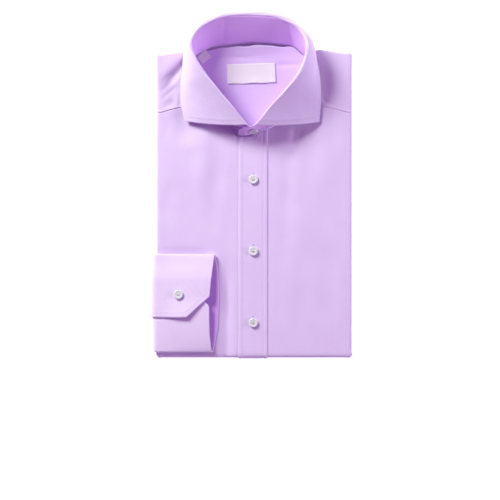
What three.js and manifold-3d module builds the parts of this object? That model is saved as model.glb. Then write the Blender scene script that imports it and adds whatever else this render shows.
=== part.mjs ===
// Long sleeve dress shirt, ironed, buttoned and folded as for a shelf, lying face up.
// Millimetres, +Z up. It rests on z = 0, with the collar towards +Y and the bottom fold towards -Y.
// Left and right in the names are the wearer's, so the right front is on the -X side.
import * as THREE from "three";
import { mergeVertices } from "three/addons/utils/BufferGeometryUtils.js";
import Module from "manifold-3d";

const wasm = await Module();
wasm.setup();

// The folded pack, measured from its own centre line and bottom fold.
const HALF_WIDTH = 117.5;
const TOP = 16.6; // the front's upper face at the side edges
const CROWN = 1.2; // how much higher the front is along the middle
const ORIGIN = { x: 3.05, y: -205.75 }; // moves the middle of the whole outline to x = 0, y = 0

// Walls and gaps.
const SHIRTING = 1.2;
const COLLAR_WALL = 1.6; // two layers of cloth and an interlining
const CUFF_WALL = 1.6;
const TRIM_WALL = 0.8; // label and size tab
const GAP = 0.3;

// How the cloth turns round an edge: reach is the turn's half width seen from above, and floor the
// height of the cloth's outer face once it has turned under.
const SIDE_TURN = { reach: 6, floor: 4.6 };
const BOTTOM_TURN = { reach: 7, floor: 1.8 };
const SHOULDER_TURN = { reach: 3.6, floor: 9.9 };
const LIP = 10; // how far the cloth runs on under the pack
const TURN_END = THREE.MathUtils.degToRad(168);
const TURN_STEPS = 5;

// Seams seen from above.
const YOKE_SEAM = { sideY: 293.6, neckY: 305.5, neckX: 60, bow: 2.2 };
const SHOULDER = [
  { x: -117.5, y: 362.5 },
  { x: -84, y: 368.8 },
  { x: -73, y: 366.5 },
  { x: 66, y: 368 },
  { x: 80, y: 370 },
  { x: 117.5, y: 364.6 },
];
const PLACKET = { left: -18.7, right: 16.3 };
const BACK_SHEET = { z: 11, left: -100, right: 94, low: 262, sideHigh: 359 };

// The collar, a row for each section from the centre front round the back to the centre front again:
// fold is the top of the collar, neck the foot of its stand and edge the rim of its leaf.
const COLLAR = [
  { fold: [-8.3, 278.3, 43], neck: [-8.3, 271, 16.2], edge: [-82.8, 284.4, 20.2] },
  { fold: [-25.8, 299.8, 47.5], neck: [-42, 287, 16.2], edge: [-85.6, 297, 20.4] },
  { fold: [-45.5, 323, 50.5], neck: [-61, 310, 16.2], edge: [-87.4, 311, 20.4] },
  { fold: [-61.3, 342.4, 52.6], neck: [-70, 334, 16.2], edge: [-88, 325, 20.4] },
  { fold: [-71, 358.7, 53], neck: [-73.6, 352, 15.6], edge: [-86.4, 342, 20.2] },
  { fold: [-76.1, 373.7, 50.5], neck: [-70.6, 362.2, 13.6], edge: [-83.8, 361, 19.2] },
  { fold: [-72.1, 386.4, 46.2], neck: [-62.6, 368, 13.2], edge: [-80, 375, 13] },
  { fold: [-59.6, 399.7, 41.2], neck: [-50, 374, 12], edge: [-67, 382, 4] },
  { fold: [-36.8, 409.4, 36.6], neck: [-33, 375.8, 11], edge: [-38, 384.5, 2.6] },
  { fold: [-2.3, 411.6, 34.5], neck: [-3, 378.6, 11], edge: [-2, 385.5, 2.4] },
  { fold: [29.8, 408.1, 36], neck: [30, 377.2, 11], edge: [30, 384, 2.6] },
  { fold: [49.6, 398.6, 40.2], neck: [47, 374.4, 11.2], edge: [55, 381.5, 4] },
  { fold: [60.9, 384.3, 45.6], neck: [56.4, 367.4, 11.2], edge: [69, 375.5, 13] },
  { fold: [63.2, 369.3, 50.2], neck: [64.4, 360, 12.6], edge: [73.4, 362, 19.2] },
  { fold: [59.2, 352.3, 53], neck: [68, 348, 15.8], edge: [77.4, 345, 20.2] },
  { fold: [49.4, 334.2, 52], neck: [66.6, 331, 16.2], edge: [79.2, 328, 20.4] },
  { fold: [35.5, 317.9, 50], neck: [58, 309, 16.2], edge: [79.5, 312, 20.4] },
  { fold: [17.8, 298.5, 47], neck: [38, 286.4, 16.2], edge: [78.8, 297.6, 20.4] },
  { fold: [0.2, 278.1, 43], neck: [-1, 270.4, 16.2], edge: [77.6, 283.3, 20.2] },
];
// The stand's buttonhole end runs on over its other end, so these sections carry no leaf.
const STAND_TAB = [
  { fold: [-9.5, 276, 41], neck: [-9.5, 267.2, 20.4] },
  { fold: [-18.5, 276.4, 36], neck: [-18.5, 267.5, 20.8] },
];
const ROLL = 1.9; // radius of the cloth's middle where the leaf rolls over the stand
const LEAF_SWELL = 2.6; // how far the leaf bows out between its fold and its rim
const LEAF_BOW = 2.8; // how far its front edges bow towards the bottom fold

// The buttoned right cuff, a flattened tube that lies on the right front with its mouth towards +X
// and turns round the side of the pack to its sleeve.
const CUFF = {
  low: 6.5,
  high: 125,
  openAtMouth: 5.6, // height of the hollow inside it
  openAtSeam: 0.5,
  turnSteps: 3, // how far round the pack's side its seam lies
  clearFlap: 0.4,
  overlapEnd: 49.2,
  underEnd: 90,
};
// Where the mouth's edge lies, for each layer, from the bottom fold to the top fold.
const CUFF_MOUTH = {
  under: [
    { y: 6.5, x: -51.5 },
    { y: 30, x: -54 },
    { y: 60, x: -54.4 },
    { y: 66, x: -58 },
    { y: 90, x: -80 },
  ],
  back: [
    { y: 6.5, x: -50 },
    { y: 35, x: -44.5 },
    { y: 75, x: -42.8 },
    { y: 105, x: -43.8 },
    { y: 125, x: -47.8 },
  ],
  flap: [
    { y: 49.2, x: -81.4 },
    { y: 74, x: -53.8 },
    { y: 90, x: -52.6 },
    { y: 110, x: -50 },
    { y: 125, x: -47.8 },
  ],
};
const SLEEVE_WALL = 2.4; // both layers of the pressed sleeve
const SLEEVE_LIP = 6;

const LABEL = { x: -3.4, y: 341.5, width: 58, height: 23.4, tilt: 1.9 };
const SIZE_TAB = { x: -60.2, y: 361.4, width: 13, height: 10.6, tilt: 38 };
const BUTTON = { radius: 5.5, thick: 2.6, rim: 1.4, dish: 0.7 };
const FRONT_BUTTONS = { x: -1.2, y: [214, 128, 42] };
const CUFF_BUTTON = { x: -90.6, y: 76.2, shank: 0.8 };
const COLLAR_BUTTON = { share: 0.5, shank: 2.2 }; // share of the way up the stand

// The largest soft folds of the upper face: each runs from one point to another, with a half width
// and a height, which is below zero for a trough.
const FOLDS = [
  { from: [-72, 367], to: [-105, 328], wide: 6, high: -2.6 },
  { from: [-66, 354], to: [-102, 314], wide: 15, high: -2.6 },
  { from: [-97, 360], to: [-114, 334], wide: 8, high: 0.8 },
  { from: [-84, 300], to: [-81, 262], wide: 12, high: -2.6 },
  { from: [-57, 290], to: [-62, 200], wide: 13, high: 1.9 },
  { from: [-44, 240], to: [-48, 150], wide: 11, high: -0.8 },
  { from: [-33.5, 122], to: [-33.5, -44], wide: 7.5, high: -3.2 },
  { from: [82, 350], to: [88, 304], wide: 10, high: -1.8 },
  { from: [56, 276], to: [44, 236], wide: 7, high: -1.4 },
  { from: [88, 286], to: [84, 196], wide: 13, high: 0.9 },
  { from: [92, 150], to: [90, 36], wide: 10, high: -0.8 },
  { from: [56, 190], to: [50, 60], wide: 14, high: 0.8 },
];

const LILAC = 0xe2c8f5;
const LILAC_DEEP = 0xc9a4e6;
const PEARL = 0xe9ede8;

// Straight lines between the rows of a table with x and y columns.
function along(rows, from, to, value) {
  const sorted = rows[0][from] <= rows.at(-1)[from] ? rows : [...rows].reverse();
  if (value <= sorted[0][from]) return sorted[0][to];
  for (let i = 1; i < sorted.length; i++) {
    const [a, b] = [sorted[i - 1], sorted[i]];
    if (value <= b[from]) return a[to] + ((b[to] - a[to]) * (value - a[from])) / (b[from] - a[from]);
  }
  return sorted.at(-1)[to];
}

const mix = THREE.MathUtils.lerp;
const ease = THREE.MathUtils.smoothstep;

// Height of one soft fold over a point: a bell across it, dying away at both ends.
function foldHeight({ from, to, wide, high }, x, y) {
  const [dx, dy] = [to[0] - from[0], to[1] - from[1]];
  const long = Math.hypot(dx, dy);
  const s = ((x - from[0]) * dx + (y - from[1]) * dy) / long;
  const off = ((x - from[0]) * dy - (y - from[1]) * dx) / long;
  const ends = ease(s, -wide, 0.3 * long) * (1 - ease(s, 0.7 * long, long + wide));
  return high * Math.exp(-((off / wide) ** 2)) * ends;
}

// Upper face of the front, without the placket.
function topHeight(x, y) {
  const crown = CROWN * (1 - (x / HALF_WIDTH) ** 2);
  return FOLDS.reduce((z, fold) => z + foldHeight(fold, x, y), TOP + crown);
}

// A sheet of cloth: points and faces of its outer side.
class Cloth {
  points = [];
  faces = [];

  add(x, y, z) {
    return this.points.push(new THREE.Vector3(x, y, z)) - 1;
  }

  quad(a, b, c, d) {
    if (a !== b) this.faces.push([a, b, c]);
    if (c !== d) this.faces.push([a, c, d]);
  }

  // Rows of points from place(column, row), and the faces between them.
  grid(columns, rows, place) {
    const lines = Array.from({ length: rows }, (_, j) =>
      Array.from({ length: columns }, (_, i) => this.add(...place(i, j))),
    );
    for (let j = 1; j < rows; j++)
      for (let i = 1; i < columns; i++)
        this.quad(lines[j - 1][i - 1], lines[j - 1][i], lines[j][i], lines[j][i - 1]);
    return lines;
  }

  // Turns the cloth under the pack along stations in anticlockwise order. Each has the index of its
  // point on the sheet, the way out, the turn and the length of the lip.
  turnUnder(stations) {
    const columns = stations.map(({ index, out, turn, lip }) => {
      const base = this.points[index];
      const drop = (base.z - turn.floor) / 2;
      const column = [index];
      for (let k = 1; k <= TURN_STEPS; k++) {
        const angle = (TURN_END * k) / TURN_STEPS;
        const r = turn.reach * Math.sin(angle);
        const z = base.z - drop * (1 - Math.cos(angle));
        column.push(this.add(base.x + out[0] * r, base.y + out[1] * r, z));
      }
      column.push(this.add(base.x - out[0] * lip, base.y - out[1] * lip, turn.floor));
      return column;
    });
    for (let s = 1; s < columns.length; s++)
      for (let k = 1; k < columns[s].length; k++)
        this.quad(columns[s][k - 1], columns[s - 1][k - 1], columns[s - 1][k], columns[s][k]);
  }

  normals() {
    const sums = this.points.map(() => new THREE.Vector3());
    const [u, v] = [new THREE.Vector3(), new THREE.Vector3()];
    for (const [a, b, c] of this.faces) {
      u.subVectors(this.points[b], this.points[a]);
      v.subVectors(this.points[c], this.points[a]);
      u.cross(v);
      for (const i of [a, b, c]) sums[i].add(u);
    }
    return sums.map((n) => n.normalize());
  }

  // The way out of the sheet at each point of its rim, in its own plane.
  rimWays(normals, edges) {
    const ways = this.points.map(() => new THREE.Vector3());
    for (const [a, b] of edges) {
      const edge = new THREE.Vector3().subVectors(this.points[b], this.points[a]);
      for (const i of [a, b]) ways[i].add(edge.clone().cross(normals[i]).normalize());
    }
    return ways.map((way) => way.normalize());
  }

  // A closed wall that reaches out and in from the sheet, and past its rim, by these distances.
  wall(out, inward, past = 0) {
    const normals = this.normals();
    const count = this.points.length;
    const triangles = [];
    const edges = new Map();
    for (const face of this.faces) {
      triangles.push(face, face.map((i) => i + count).reverse());
      face.forEach((a, k) => edges.set(`${a},${face[(k + 1) % 3]}`, [a, face[(k + 1) % 3]]));
    }
    const rim = [...edges.values()].filter(([a, b]) => !edges.has(`${b},${a}`));
    for (const [a, b] of rim) triangles.push([b, a, a + count], [b, a + count, b + count]);
    const ways = this.rimWays(normals, rim);
    const side = (by) =>
      this.points.map((p, i) =>
        p.clone().addScaledVector(normals[i], by).addScaledVector(ways[i], past),
      );
    const corners = [...side(out), ...side(-inward)];
    const geometry = new THREE.BufferGeometry();
    geometry.setAttribute(
      "position",
      new THREE.Float32BufferAttribute(corners.flatMap((p) => p.toArray()), 3),
    );
    geometry.setIndex(triangles.flat());
    return geometry;
  }
}

// Closed geometry to a solid for cutting and joining, and back.
function solidOf(geometry) {
  const bare = geometry.clone();
  bare.deleteAttribute("normal");
  bare.deleteAttribute("uv");
  const merged = mergeVertices(bare, 1e-4);
  return new wasm.Manifold(
    new wasm.Mesh({
      numProp: 3,
      vertProperties: new Float32Array(merged.attributes.position.array),
      triVerts: new Uint32Array(merged.index.array),
    }),
  );
}

function geometryOf(solid) {
  const { vertProperties, triVerts } = solid.getMesh();
  const geometry = new THREE.BufferGeometry();
  geometry.setAttribute("position", new THREE.BufferAttribute(vertProperties, 3));
  geometry.setIndex(new THREE.BufferAttribute(triVerts, 1));
  return geometry;
}

function largest(solid) {
  return solid.decompose().sort((a, b) => b.volume() - a.volume())[0];
}

// The collar's curves, with t from 0 to 1 over the sections that carry a leaf.
function curveOf(rows, column) {
  const points = rows.map((row) => new THREE.Vector3(...row[column]));
  return new THREE.CatmullRomCurve3(points, false, "centripetal");
}
const standRows = [...COLLAR, ...STAND_TAB];
const STAND_SHARE = (COLLAR.length - 1) / (standRows.length - 1);
const foldCurve = curveOf(standRows, "fold");
const neckCurve = curveOf(standRows, "neck");
const edgeCurve = curveOf(COLLAR, "edge");

// Neck seam from above, as polylines: the front half in x, and each side in y.
const NECK_SAMPLES = 120;
const neckLine = Array.from({ length: NECK_SAMPLES + 1 }, (_, i) => {
  const p = neckCurve.getPoint((STAND_SHARE * i) / NECK_SAMPLES);
  return { x: p.x, y: p.y };
});
const widest = (sign) => neckLine.reduce((best, p) => (sign * p.x > sign * best.x ? p : best));
const neckSide = { left: widest(-1), right: widest(1) };
const backNeck = neckLine.filter((p) => p.y > 360);
const frontNeck = {
  left: neckLine.filter((p, i) => i < NECK_SAMPLES / 2 && p.y <= neckSide.left.y),
  right: neckLine.filter((p, i) => i > NECK_SAMPLES / 2 && p.y <= neckSide.right.y),
};
const NECK_CLEAR = 1.4; // from the seam line to a panel's edge
// The fronts end lower where the stand's buttonhole end crosses the centre.
const UNDER_STAND_TAB = [
  { x: -33, y: 284 },
  { x: -22, y: 265.4 },
  { x: 2, y: 265.4 },
  { x: 13, y: 284 },
];

function shoulderY(x) {
  return along(SHOULDER, "x", "y", x);
}

function yokeSeamY(x) {
  const share = (HALF_WIDTH - Math.abs(x)) / (HALF_WIDTH - YOKE_SEAM.neckX);
  return mix(YOKE_SEAM.sideY, YOKE_SEAM.neckY, share) + YOKE_SEAM.bow * 4 * share * (1 - share);
}

// Upper end of a front panel: the yoke seam, then the neck seam.
function frontHigh(x) {
  const line = x < -4 ? frontNeck.left : frontNeck.right;
  const neck = along(line, "x", "y", x) - NECK_CLEAR * 1.3;
  const tab = along(UNDER_STAND_TAB, "x", "y", x);
  const seam = yokeSeamY(x) - 1.5 * GAP;
  if (Math.abs(x) > 62) return seam;
  return Math.min(neck, Math.abs(x) > 34 ? seam : tab);
}

// Directions that swing from one way out to the next round a corner, a little longer in the middle
// so that the corner stays square.
function cornerWays(from, to, count) {
  return Array.from({ length: count }, (_, k) => {
    const s = (k + 1) / (count + 1);
    const way = new THREE.Vector2(mix(from[0], to[0], s), mix(from[1], to[1], s)).normalize();
    return way.multiplyScalar(1 + 0.22 * Math.sin(Math.PI * s)).toArray();
  });
}

const cornerLip = -0.5; // it stops short of the turn's axis
const lipAt = (distance) => THREE.MathUtils.clamp(distance - 1, cornerLip, LIP);
const turnBetween = (a, b, s) => ({ reach: mix(a.reach, b.reach, s), floor: b.floor });

// The side's turn meets the bottom fold's and the shoulder's turn at their own heights.
function sideFloor(y) {
  const towardsBottom = 1 - ease(y, BOTTOM_TURN.reach, 18);
  const towardsShoulder = ease(y, 338, 356);
  const floor = mix(SIDE_TURN.floor, BOTTOM_TURN.floor, towardsBottom);
  return mix(floor, SHOULDER_TURN.floor, towardsShoulder);
}

// One front from the centre to the side, turned under at the side and at the bottom.
function frontCloth(sign, centreX) {
  const cloth = new Cloth();
  const sideX = sign * (HALF_WIDTH - SIDE_TURN.reach);
  const columns = 14;
  const rows = 17;
  const span = Math.abs(sideX - centreX);
  const lowX = Math.min(sideX, centreX);
  const lines = cloth.grid(columns, rows, (i, j) => {
    const x = lowX + (span * i) / (columns - 1);
    const y = mix(BOTTOM_TURN.reach, frontHigh(x), (j / (rows - 1)) ** 1.4);
    return [x, y, topHeight(x, y)];
  });
  const sideStations = lines.map((line) => {
    const index = line[sign < 0 ? 0 : columns - 1];
    const y = cloth.points[index].y;
    const turn = { reach: SIDE_TURN.reach, floor: sideFloor(y) };
    return { index, out: [sign, 0], turn, lip: lipAt(y - BOTTOM_TURN.reach) };
  });
  const bottomStations = lines[0].map((index) => {
    const inFrom = Math.abs(cloth.points[index].x - sideX);
    return { index, out: [0, -1], turn: BOTTOM_TURN, lip: lipAt(inFrom) };
  });
  const corner = lines[0][sign < 0 ? 0 : columns - 1];
  const ways = sign < 0 ? [[-1, 0], [0, -1]] : [[0, -1], [1, 0]];
  const fan = cornerWays(...ways, 3).map((out, k) => {
    const turn = turnBetween(SIDE_TURN, BOTTOM_TURN, (sign < 0 ? k + 1 : 3 - k) / 4);
    return { index: corner, out, turn, lip: cornerLip };
  });
  cloth.turnUnder(
    sign < 0
      ? [...sideStations.reverse(), ...fan, ...bottomStations]
      : [...bottomStations, ...fan, ...sideStations],
  );
  return cloth;
}

// The placket lies on both fronts along the centre, so it is made from their upper face, moved out.
function placketCloth() {
  const cloth = new Cloth();
  const columns = 4;
  const rows = 17;
  const xAt = (i) => mix(PLACKET.left, PLACKET.right, i / (columns - 1));
  const lines = cloth.grid(columns, rows, (i, j) => {
    const x = xAt(i);
    const y = mix(BOTTOM_TURN.reach, frontHigh(x) - 0.5, (j / (rows - 1)) ** 1.4);
    return [x, y, topHeight(x, y)];
  });
  cloth.turnUnder(
    lines[0].map((index) => ({ index, out: [0, -1], turn: BOTTOM_TURN, lip: LIP })),
  );
  return cloth;
}

// The part of the yoke that shows on one shoulder, turned under at the side and along the shoulder.
function shoulderCloth(sign) {
  const cloth = new Cloth();
  const side = sign < 0 ? "left" : "right";
  const sideX = sign * (HALF_WIDTH - SIDE_TURN.reach);
  const columns = 7;
  const rows = 9;
  const place = (share, v) => {
    const seamX = sign * YOKE_SEAM.neckX;
    const guess = mix(yokeSeamY(seamX), shoulderY(neckSide[side].x), v);
    const neckX = along(frontNeck[side], "y", "x", Math.min(guess, neckSide[side].y));
    const x = mix(sideX, neckX + sign * NECK_CLEAR, share);
    const y = mix(yokeSeamY(x), shoulderY(x) - SHOULDER_TURN.reach, v);
    return [x, y, topHeight(x, y)];
  };
  const lines = cloth.grid(columns, rows, (i, j) => {
    const share = i / (columns - 1);
    return place(sign < 0 ? share : 1 - share, 1 - (1 - j / (rows - 1)) ** 1.4);
  });
  const outer = (line) => line[sign < 0 ? 0 : columns - 1];
  const top = lines.at(-1);
  const cornerY = cloth.points[outer(top)].y;
  const sideStations = lines.map((line) => ({
    index: outer(line),
    out: [sign, 0],
    turn: { reach: SIDE_TURN.reach, floor: sideFloor(cloth.points[outer(line)].y) },
    lip: lipAt(cornerY - cloth.points[outer(line)].y),
  }));
  const shoulderStations = top.map((index) => ({
    index,
    out: [0, 1],
    turn: SHOULDER_TURN,
    lip: lipAt(Math.abs(cloth.points[index].x - sideX)),
  }));
  const ways = sign < 0 ? [[0, 1], [-1, 0]] : [[1, 0], [0, 1]];
  const fan = cornerWays(...ways, 3).map((out, k) => {
    const s = (sign < 0 ? 3 - k : k + 1) / 4;
    return { index: outer(top), out, turn: turnBetween(SIDE_TURN, SHOULDER_TURN, s), lip: cornerLip };
  });
  cloth.turnUnder(
    sign < 0
      ? [...shoulderStations.reverse(), ...fan, ...sideStations.reverse()]
      : [...sideStations, ...fan, ...shoulderStations.reverse()],
  );
  return cloth;
}

// The yoke's back half, whose inner side shows in the neck.
function backSheetCloth() {
  const cloth = new Cloth();
  const columns = 29;
  const [first, last] = [backNeck[0], backNeck.at(-1)];
  const [low, high] = [Math.min(first.x, last.x), Math.max(first.x, last.x)];
  cloth.grid(columns, 4, (i, j) => {
    const x = mix(BACK_SHEET.left, BACK_SHEET.right, i / (columns - 1));
    const inNeck = x > low + 3 && x < high - 3;
    const top = inNeck ? along(backNeck, "x", "y", x) - NECK_CLEAR * 1.5 : BACK_SHEET.sideHigh;
    return [x, mix(BACK_SHEET.low, top, j / 3), BACK_SHEET.z];
  });
  return cloth;
}

// One section of the collar: where the stand ends, the roll over the fold, and the leaf.
function collarSection(t) {
  const at = STAND_SHARE * t;
  const fold = foldCurve.getPoint(at);
  const neck = neckCurve.getPoint(at);
  const edge = edgeCurve.getPoint(t);
  const up = fold.clone().sub(neck).normalize();
  const down = edge.clone().sub(fold).normalize();
  const apexWay = up.clone().sub(down).normalize();
  const outWay = up.clone().add(down).normalize();
  const half = Math.acos(up.dot(outWay));
  const centre = fold.clone().addScaledVector(apexWay, -ROLL);
  const onRoll = (angle) =>
    centre
      .clone()
      .addScaledVector(apexWay, ROLL * Math.cos(angle))
      .addScaledVector(outWay, ROLL * Math.sin(angle));
  const out = down.clone().multiplyScalar(-down.dot(apexWay)).add(apexWay).normalize();
  return { neck, edge, half, onRoll, out };
}

function leafCloth() {
  const cloth = new Cloth();
  const around = 43;
  const rollSteps = 4;
  const leafSteps = 5;
  cloth.grid(rollSteps + leafSteps + 1, around, (i, j) => {
    const t = j / (around - 1);
    const { edge, half, onRoll, out } = collarSection(t);
    if (i <= rollSteps) return onRoll(mix(-half, half, i / rollSteps)).toArray();
    const s = (i - rollSteps) / leafSteps;
    const bell = 4 * s * (1 - s);
    const point = onRoll(half).lerp(edge, s).addScaledVector(out, LEAF_SWELL * bell);
    point.y -= LEAF_BOW * bell * (1 - ease(Math.min(t, 1 - t), 0, 0.1));
    return point.toArray();
  });
  return cloth;
}

function standCloth() {
  const cloth = new Cloth();
  const leafed = 43;
  const tab = 4;
  const high = 3;
  cloth.grid(high, leafed + tab, (i, j) => {
    const at = j < leafed ? (STAND_SHARE * j) / (leafed - 1) : mix(STAND_SHARE, 1, (j - leafed + 1) / tab);
    const neck = neckCurve.getPoint(at);
    const fold = foldCurve.getPoint(at);
    const up = fold.clone().sub(neck).normalize();
    let top = fold.addScaledVector(up, -1);
    if (j < leafed) {
      const { half, onRoll } = collarSection(j / (leafed - 1));
      top = onRoll(-half).addScaledVector(up, -GAP - 0.5);
    }
    return neck.lerp(top, i / (high - 1)).toArray();
  });
  return cloth;
}

// A point over the front at a height n, or round the pack's right side where x is beyond the turn.
function onBody(x, y, n) {
  const base = HALF_WIDTH - SIDE_TURN.reach;
  if (x >= -base) return [x, y, topHeight(x, y) + n];
  const z = topHeight(-base, y);
  const drop = (z - sideFloor(y)) / 2;
  const angle = (-base - x) / SIDE_TURN.reach;
  return [-base - (SIDE_TURN.reach + n) * Math.sin(angle), y, z - drop + (drop + n) * Math.cos(angle)];
}

// Where a step of the side's turn would lie if the side were unrolled.
function unrolled(step) {
  return SIDE_TURN.reach - HALF_WIDTH - (SIDE_TURN.reach * TURN_END * step) / TURN_STEPS;
}

// Heights of the cuff's three layers over the front, where it is open by this much inside.
const CUFF_BACK = GAP + CUFF_WALL / 2;
function cuffUnder(y, open) {
  const { low, high } = CUFF;
  const off = (y - (low + high) / 2) / ((high - low) / 2);
  return CUFF_BACK + CUFF_WALL + 1 + open * Math.sqrt(Math.max(0, 1 - off ** 2));
}
function cuffFlap(y, open) {
  const over = 1 - ease(y, CUFF.underEnd + 2, CUFF.high - 8);
  return cuffUnder(y, open) + (CUFF_WALL + CUFF.clearFlap) * over;
}

const CUFF_FLAT_STEPS = 6;
const cuffSteps = CUFF_FLAT_STEPS + CUFF.turnSteps;
function cuffOpening(step) {
  return mix(CUFF.openAtMouth, CUFF.openAtSeam, ease(step, 0, cuffSteps));
}

// The upper face of the cuff's flap over a point of the front.
function cuffTopHeight(x, y) {
  const mouth = along(CUFF_MOUTH.flap, "y", "x", y);
  const step = (CUFF_FLAT_STEPS * (x - mouth)) / (SIDE_TURN.reach - HALF_WIDTH - mouth);
  return topHeight(x, y) + cuffFlap(y, cuffOpening(step)) + CUFF_WALL / 2;
}

// The cuff's cloth from its under end round the bottom fold, the back and the top fold to the flap.
function cuffCloth() {
  const { low, high, turnSteps, overlapEnd, underEnd } = CUFF;
  const inset = 2.2; // where each layer leaves its fold
  const turn = (y, way, open, at, s) => {
    const half = (at(y - way * 0.1, open) - CUFF_BACK) / 2;
    const angle = Math.PI * s;
    return [y + way * (inset - 1) * Math.sin(angle), CUFF_BACK + half - half * Math.cos(angle)];
  };
  const stations = [];
  const layer = (name, from, to, steps, at) => {
    for (let k = 0; k <= steps; k++) {
      const y = mix(from, to, k / steps);
      stations.push((open) => ({ y, n: at(y, open), mouth: along(CUFF_MOUTH[name], "y", "x", y) }));
    }
  };
  const fold = (y, way, at, name, reverse) => {
    for (const k of [1, 2, 3]) {
      const s = reverse ? 1 - k / 4 : k / 4;
      stations.push((open) => {
        const [fy, n] = turn(y, way, open, at, s);
        return { y: fy, n, mouth: along(CUFF_MOUTH[name], "y", "x", y) };
      });
    }
  };
  layer("under", underEnd, low + inset, 9, cuffUnder);
  fold(low + inset, -1, cuffUnder, "back", true);
  layer("back", low + inset, high - inset, 6, () => CUFF_BACK);
  fold(high - inset, 1, cuffFlap, "flap", false);
  layer("flap", high - inset, overlapEnd, 9, cuffFlap);
  const cloth = new Cloth();
  cloth.grid(stations.length, CUFF_FLAT_STEPS + turnSteps + 1, (i, j) => {
    const { y, n, mouth } = stations[i](cuffOpening(j));
    const onFlat = mix(mouth, unrolled(0), j / CUFF_FLAT_STEPS);
    const x = j <= CUFF_FLAT_STEPS ? onFlat : unrolled(j - CUFF_FLAT_STEPS);
    return onBody(x, y, n);
  });
  return cloth;
}

// The end of the right sleeve, from the cuff's seam round the side and in under the front.
function sleeveCloth() {
  const cloth = new Cloth();
  const out = GAP + 0.1 + SLEEVE_WALL;
  const steps = TURN_STEPS - CUFF.turnSteps;
  cloth.grid(9, steps + 2, (i, j) => {
    const y = mix(CUFF.low + 17, CUFF.high - 3, i / 8);
    if (j > steps) return [SIDE_TURN.reach - HALF_WIDTH + SLEEVE_LIP, y, sideFloor(y) - out];
    return onBody(unrolled(CUFF.turnSteps + j) - (j ? 0 : 1.7), y, out);
  });
  return cloth;
}

// Everything that is hidden: the sides, the left sleeve and the tails, folded behind the front.
const LAYERS_OUTLINE = [
  { x: -117.5, y: 0, edge: "side" },
  { x: 117.5, y: 0, edge: "side" },
  { x: 117.5, y: 364.6, edge: "shoulder" },
  { x: 76, y: 370, edge: "shoulder" },
  { x: 46, y: 381, edge: "shoulder" },
  { x: -52, y: 381, edge: "shoulder" },
  { x: -84, y: 368.8, edge: "shoulder" },
  { x: -117.5, y: 362.5, edge: "side" },
];
// How far each level of the layers stays in from the outline.
const LAYERS = [
  { z: 0, side: 3.4, shoulder: 4.2 },
  { z: 0.7, side: 1.8, shoulder: 2.6 },
  { z: 1.9, side: 1.6, shoulder: 2.4 },
  { z: 2.5, side: 2.9, shoulder: 3.8 },
  { z: 3.1, side: 1.8, shoulder: 1.6 },
  { z: 4, side: 2, shoulder: 1.2 },
  { z: 4.3, side: 7.4, shoulder: 1.2 },
  { z: 5.6, side: 7.4, shoulder: 1.4 },
  { z: 6.2, side: 7.4, shoulder: 3 },
  { z: 6.8, side: 7.4, shoulder: 1.8 },
  { z: 9.2, side: 7.4, shoulder: 1.6 },
  { z: 9.6, side: 7.4, shoulder: 5 },
  { z: 14.4, side: 7.4, shoulder: 6 },
];
const BASIN = { left: -78, right: 72, low: 263, high: 420, floor: 9.6, radius: 14 };
const CORNER = 5; // radius of the layers' corners

// The outline with each side moved in by its own distance, and its corners rounded.
function insetOutline(level) {
  const corners = LAYERS_OUTLINE.length;
  const lines = LAYERS_OUTLINE.map((a, i) => {
    const b = LAYERS_OUTLINE[(i + 1) % corners];
    const way = new THREE.Vector2(b.x - a.x, b.y - a.y).normalize();
    return { way, at: new THREE.Vector2(a.x - way.y * level[a.edge], a.y + way.x * level[a.edge]) };
  });
  return lines.flatMap((line, i) => {
    const last = lines[(i + corners - 1) % corners];
    const gap = line.at.clone().sub(last.at);
    const s = gap.cross(line.way) / last.way.cross(line.way);
    const corner = last.at.clone().addScaledVector(last.way, s);
    const before = corner.clone().addScaledVector(last.way, -CORNER);
    const after = corner.clone().addScaledVector(line.way, CORNER);
    return new THREE.QuadraticBezierCurve(before, corner, after).getPoints(4);
  });
}

function layersGeometry() {
  const rings = LAYERS.map((level) => insetOutline(level).map((p) => [p.x, p.y, level.z]));
  const count = rings[0].length;
  const positions = rings.flat(2);
  const middle = [rings.length * count, rings.length * count + 1];
  positions.push(0, 180, LAYERS[0].z, 0, 180, LAYERS.at(-1).z);
  const triangles = [];
  for (let k = 0; k < count; k++) {
    const next = (k + 1) % count;
    const last = (rings.length - 1) * count;
    triangles.push(middle[0], next, k, middle[1], last + k, last + next);
    for (let r = 1; r < rings.length; r++) {
      const [a, b, c, d] = [(r - 1) * count + k, (r - 1) * count + next, r * count + next, r * count + k];
      triangles.push(a, b, c, a, c, d);
    }
  }
  const geometry = new THREE.BufferGeometry();
  geometry.setAttribute("position", new THREE.Float32BufferAttribute(positions, 3));
  geometry.setIndex(triangles);
  return geometry;
}

function basinGeometry() {
  const { left, right, low, high, floor, radius } = BASIN;
  const shape = new THREE.Shape();
  shape.moveTo(left + radius, low);
  shape.lineTo(right - radius, low);
  shape.quadraticCurveTo(right, low, right, low + radius);
  shape.lineTo(right, high);
  shape.lineTo(left, high);
  shape.lineTo(left, low + radius);
  shape.quadraticCurveTo(left, low, left + radius, low);
  const geometry = new THREE.ExtrudeGeometry(shape, { depth: 20, bevelEnabled: false, curveSegments: 4 });
  return geometry.translate(0, 0, floor);
}

// The lips of the side and of the bottom meet round the turn's axis at each lower corner.
function cornerRoomGeometry(sign) {
  const post = new THREE.CylinderGeometry(2.6, 2.6, 4.4, 10).rotateX(Math.PI / 2);
  return post.translate(sign * (HALF_WIDTH - SIDE_TURN.reach), BOTTOM_TURN.reach, 3.4);
}

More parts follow.
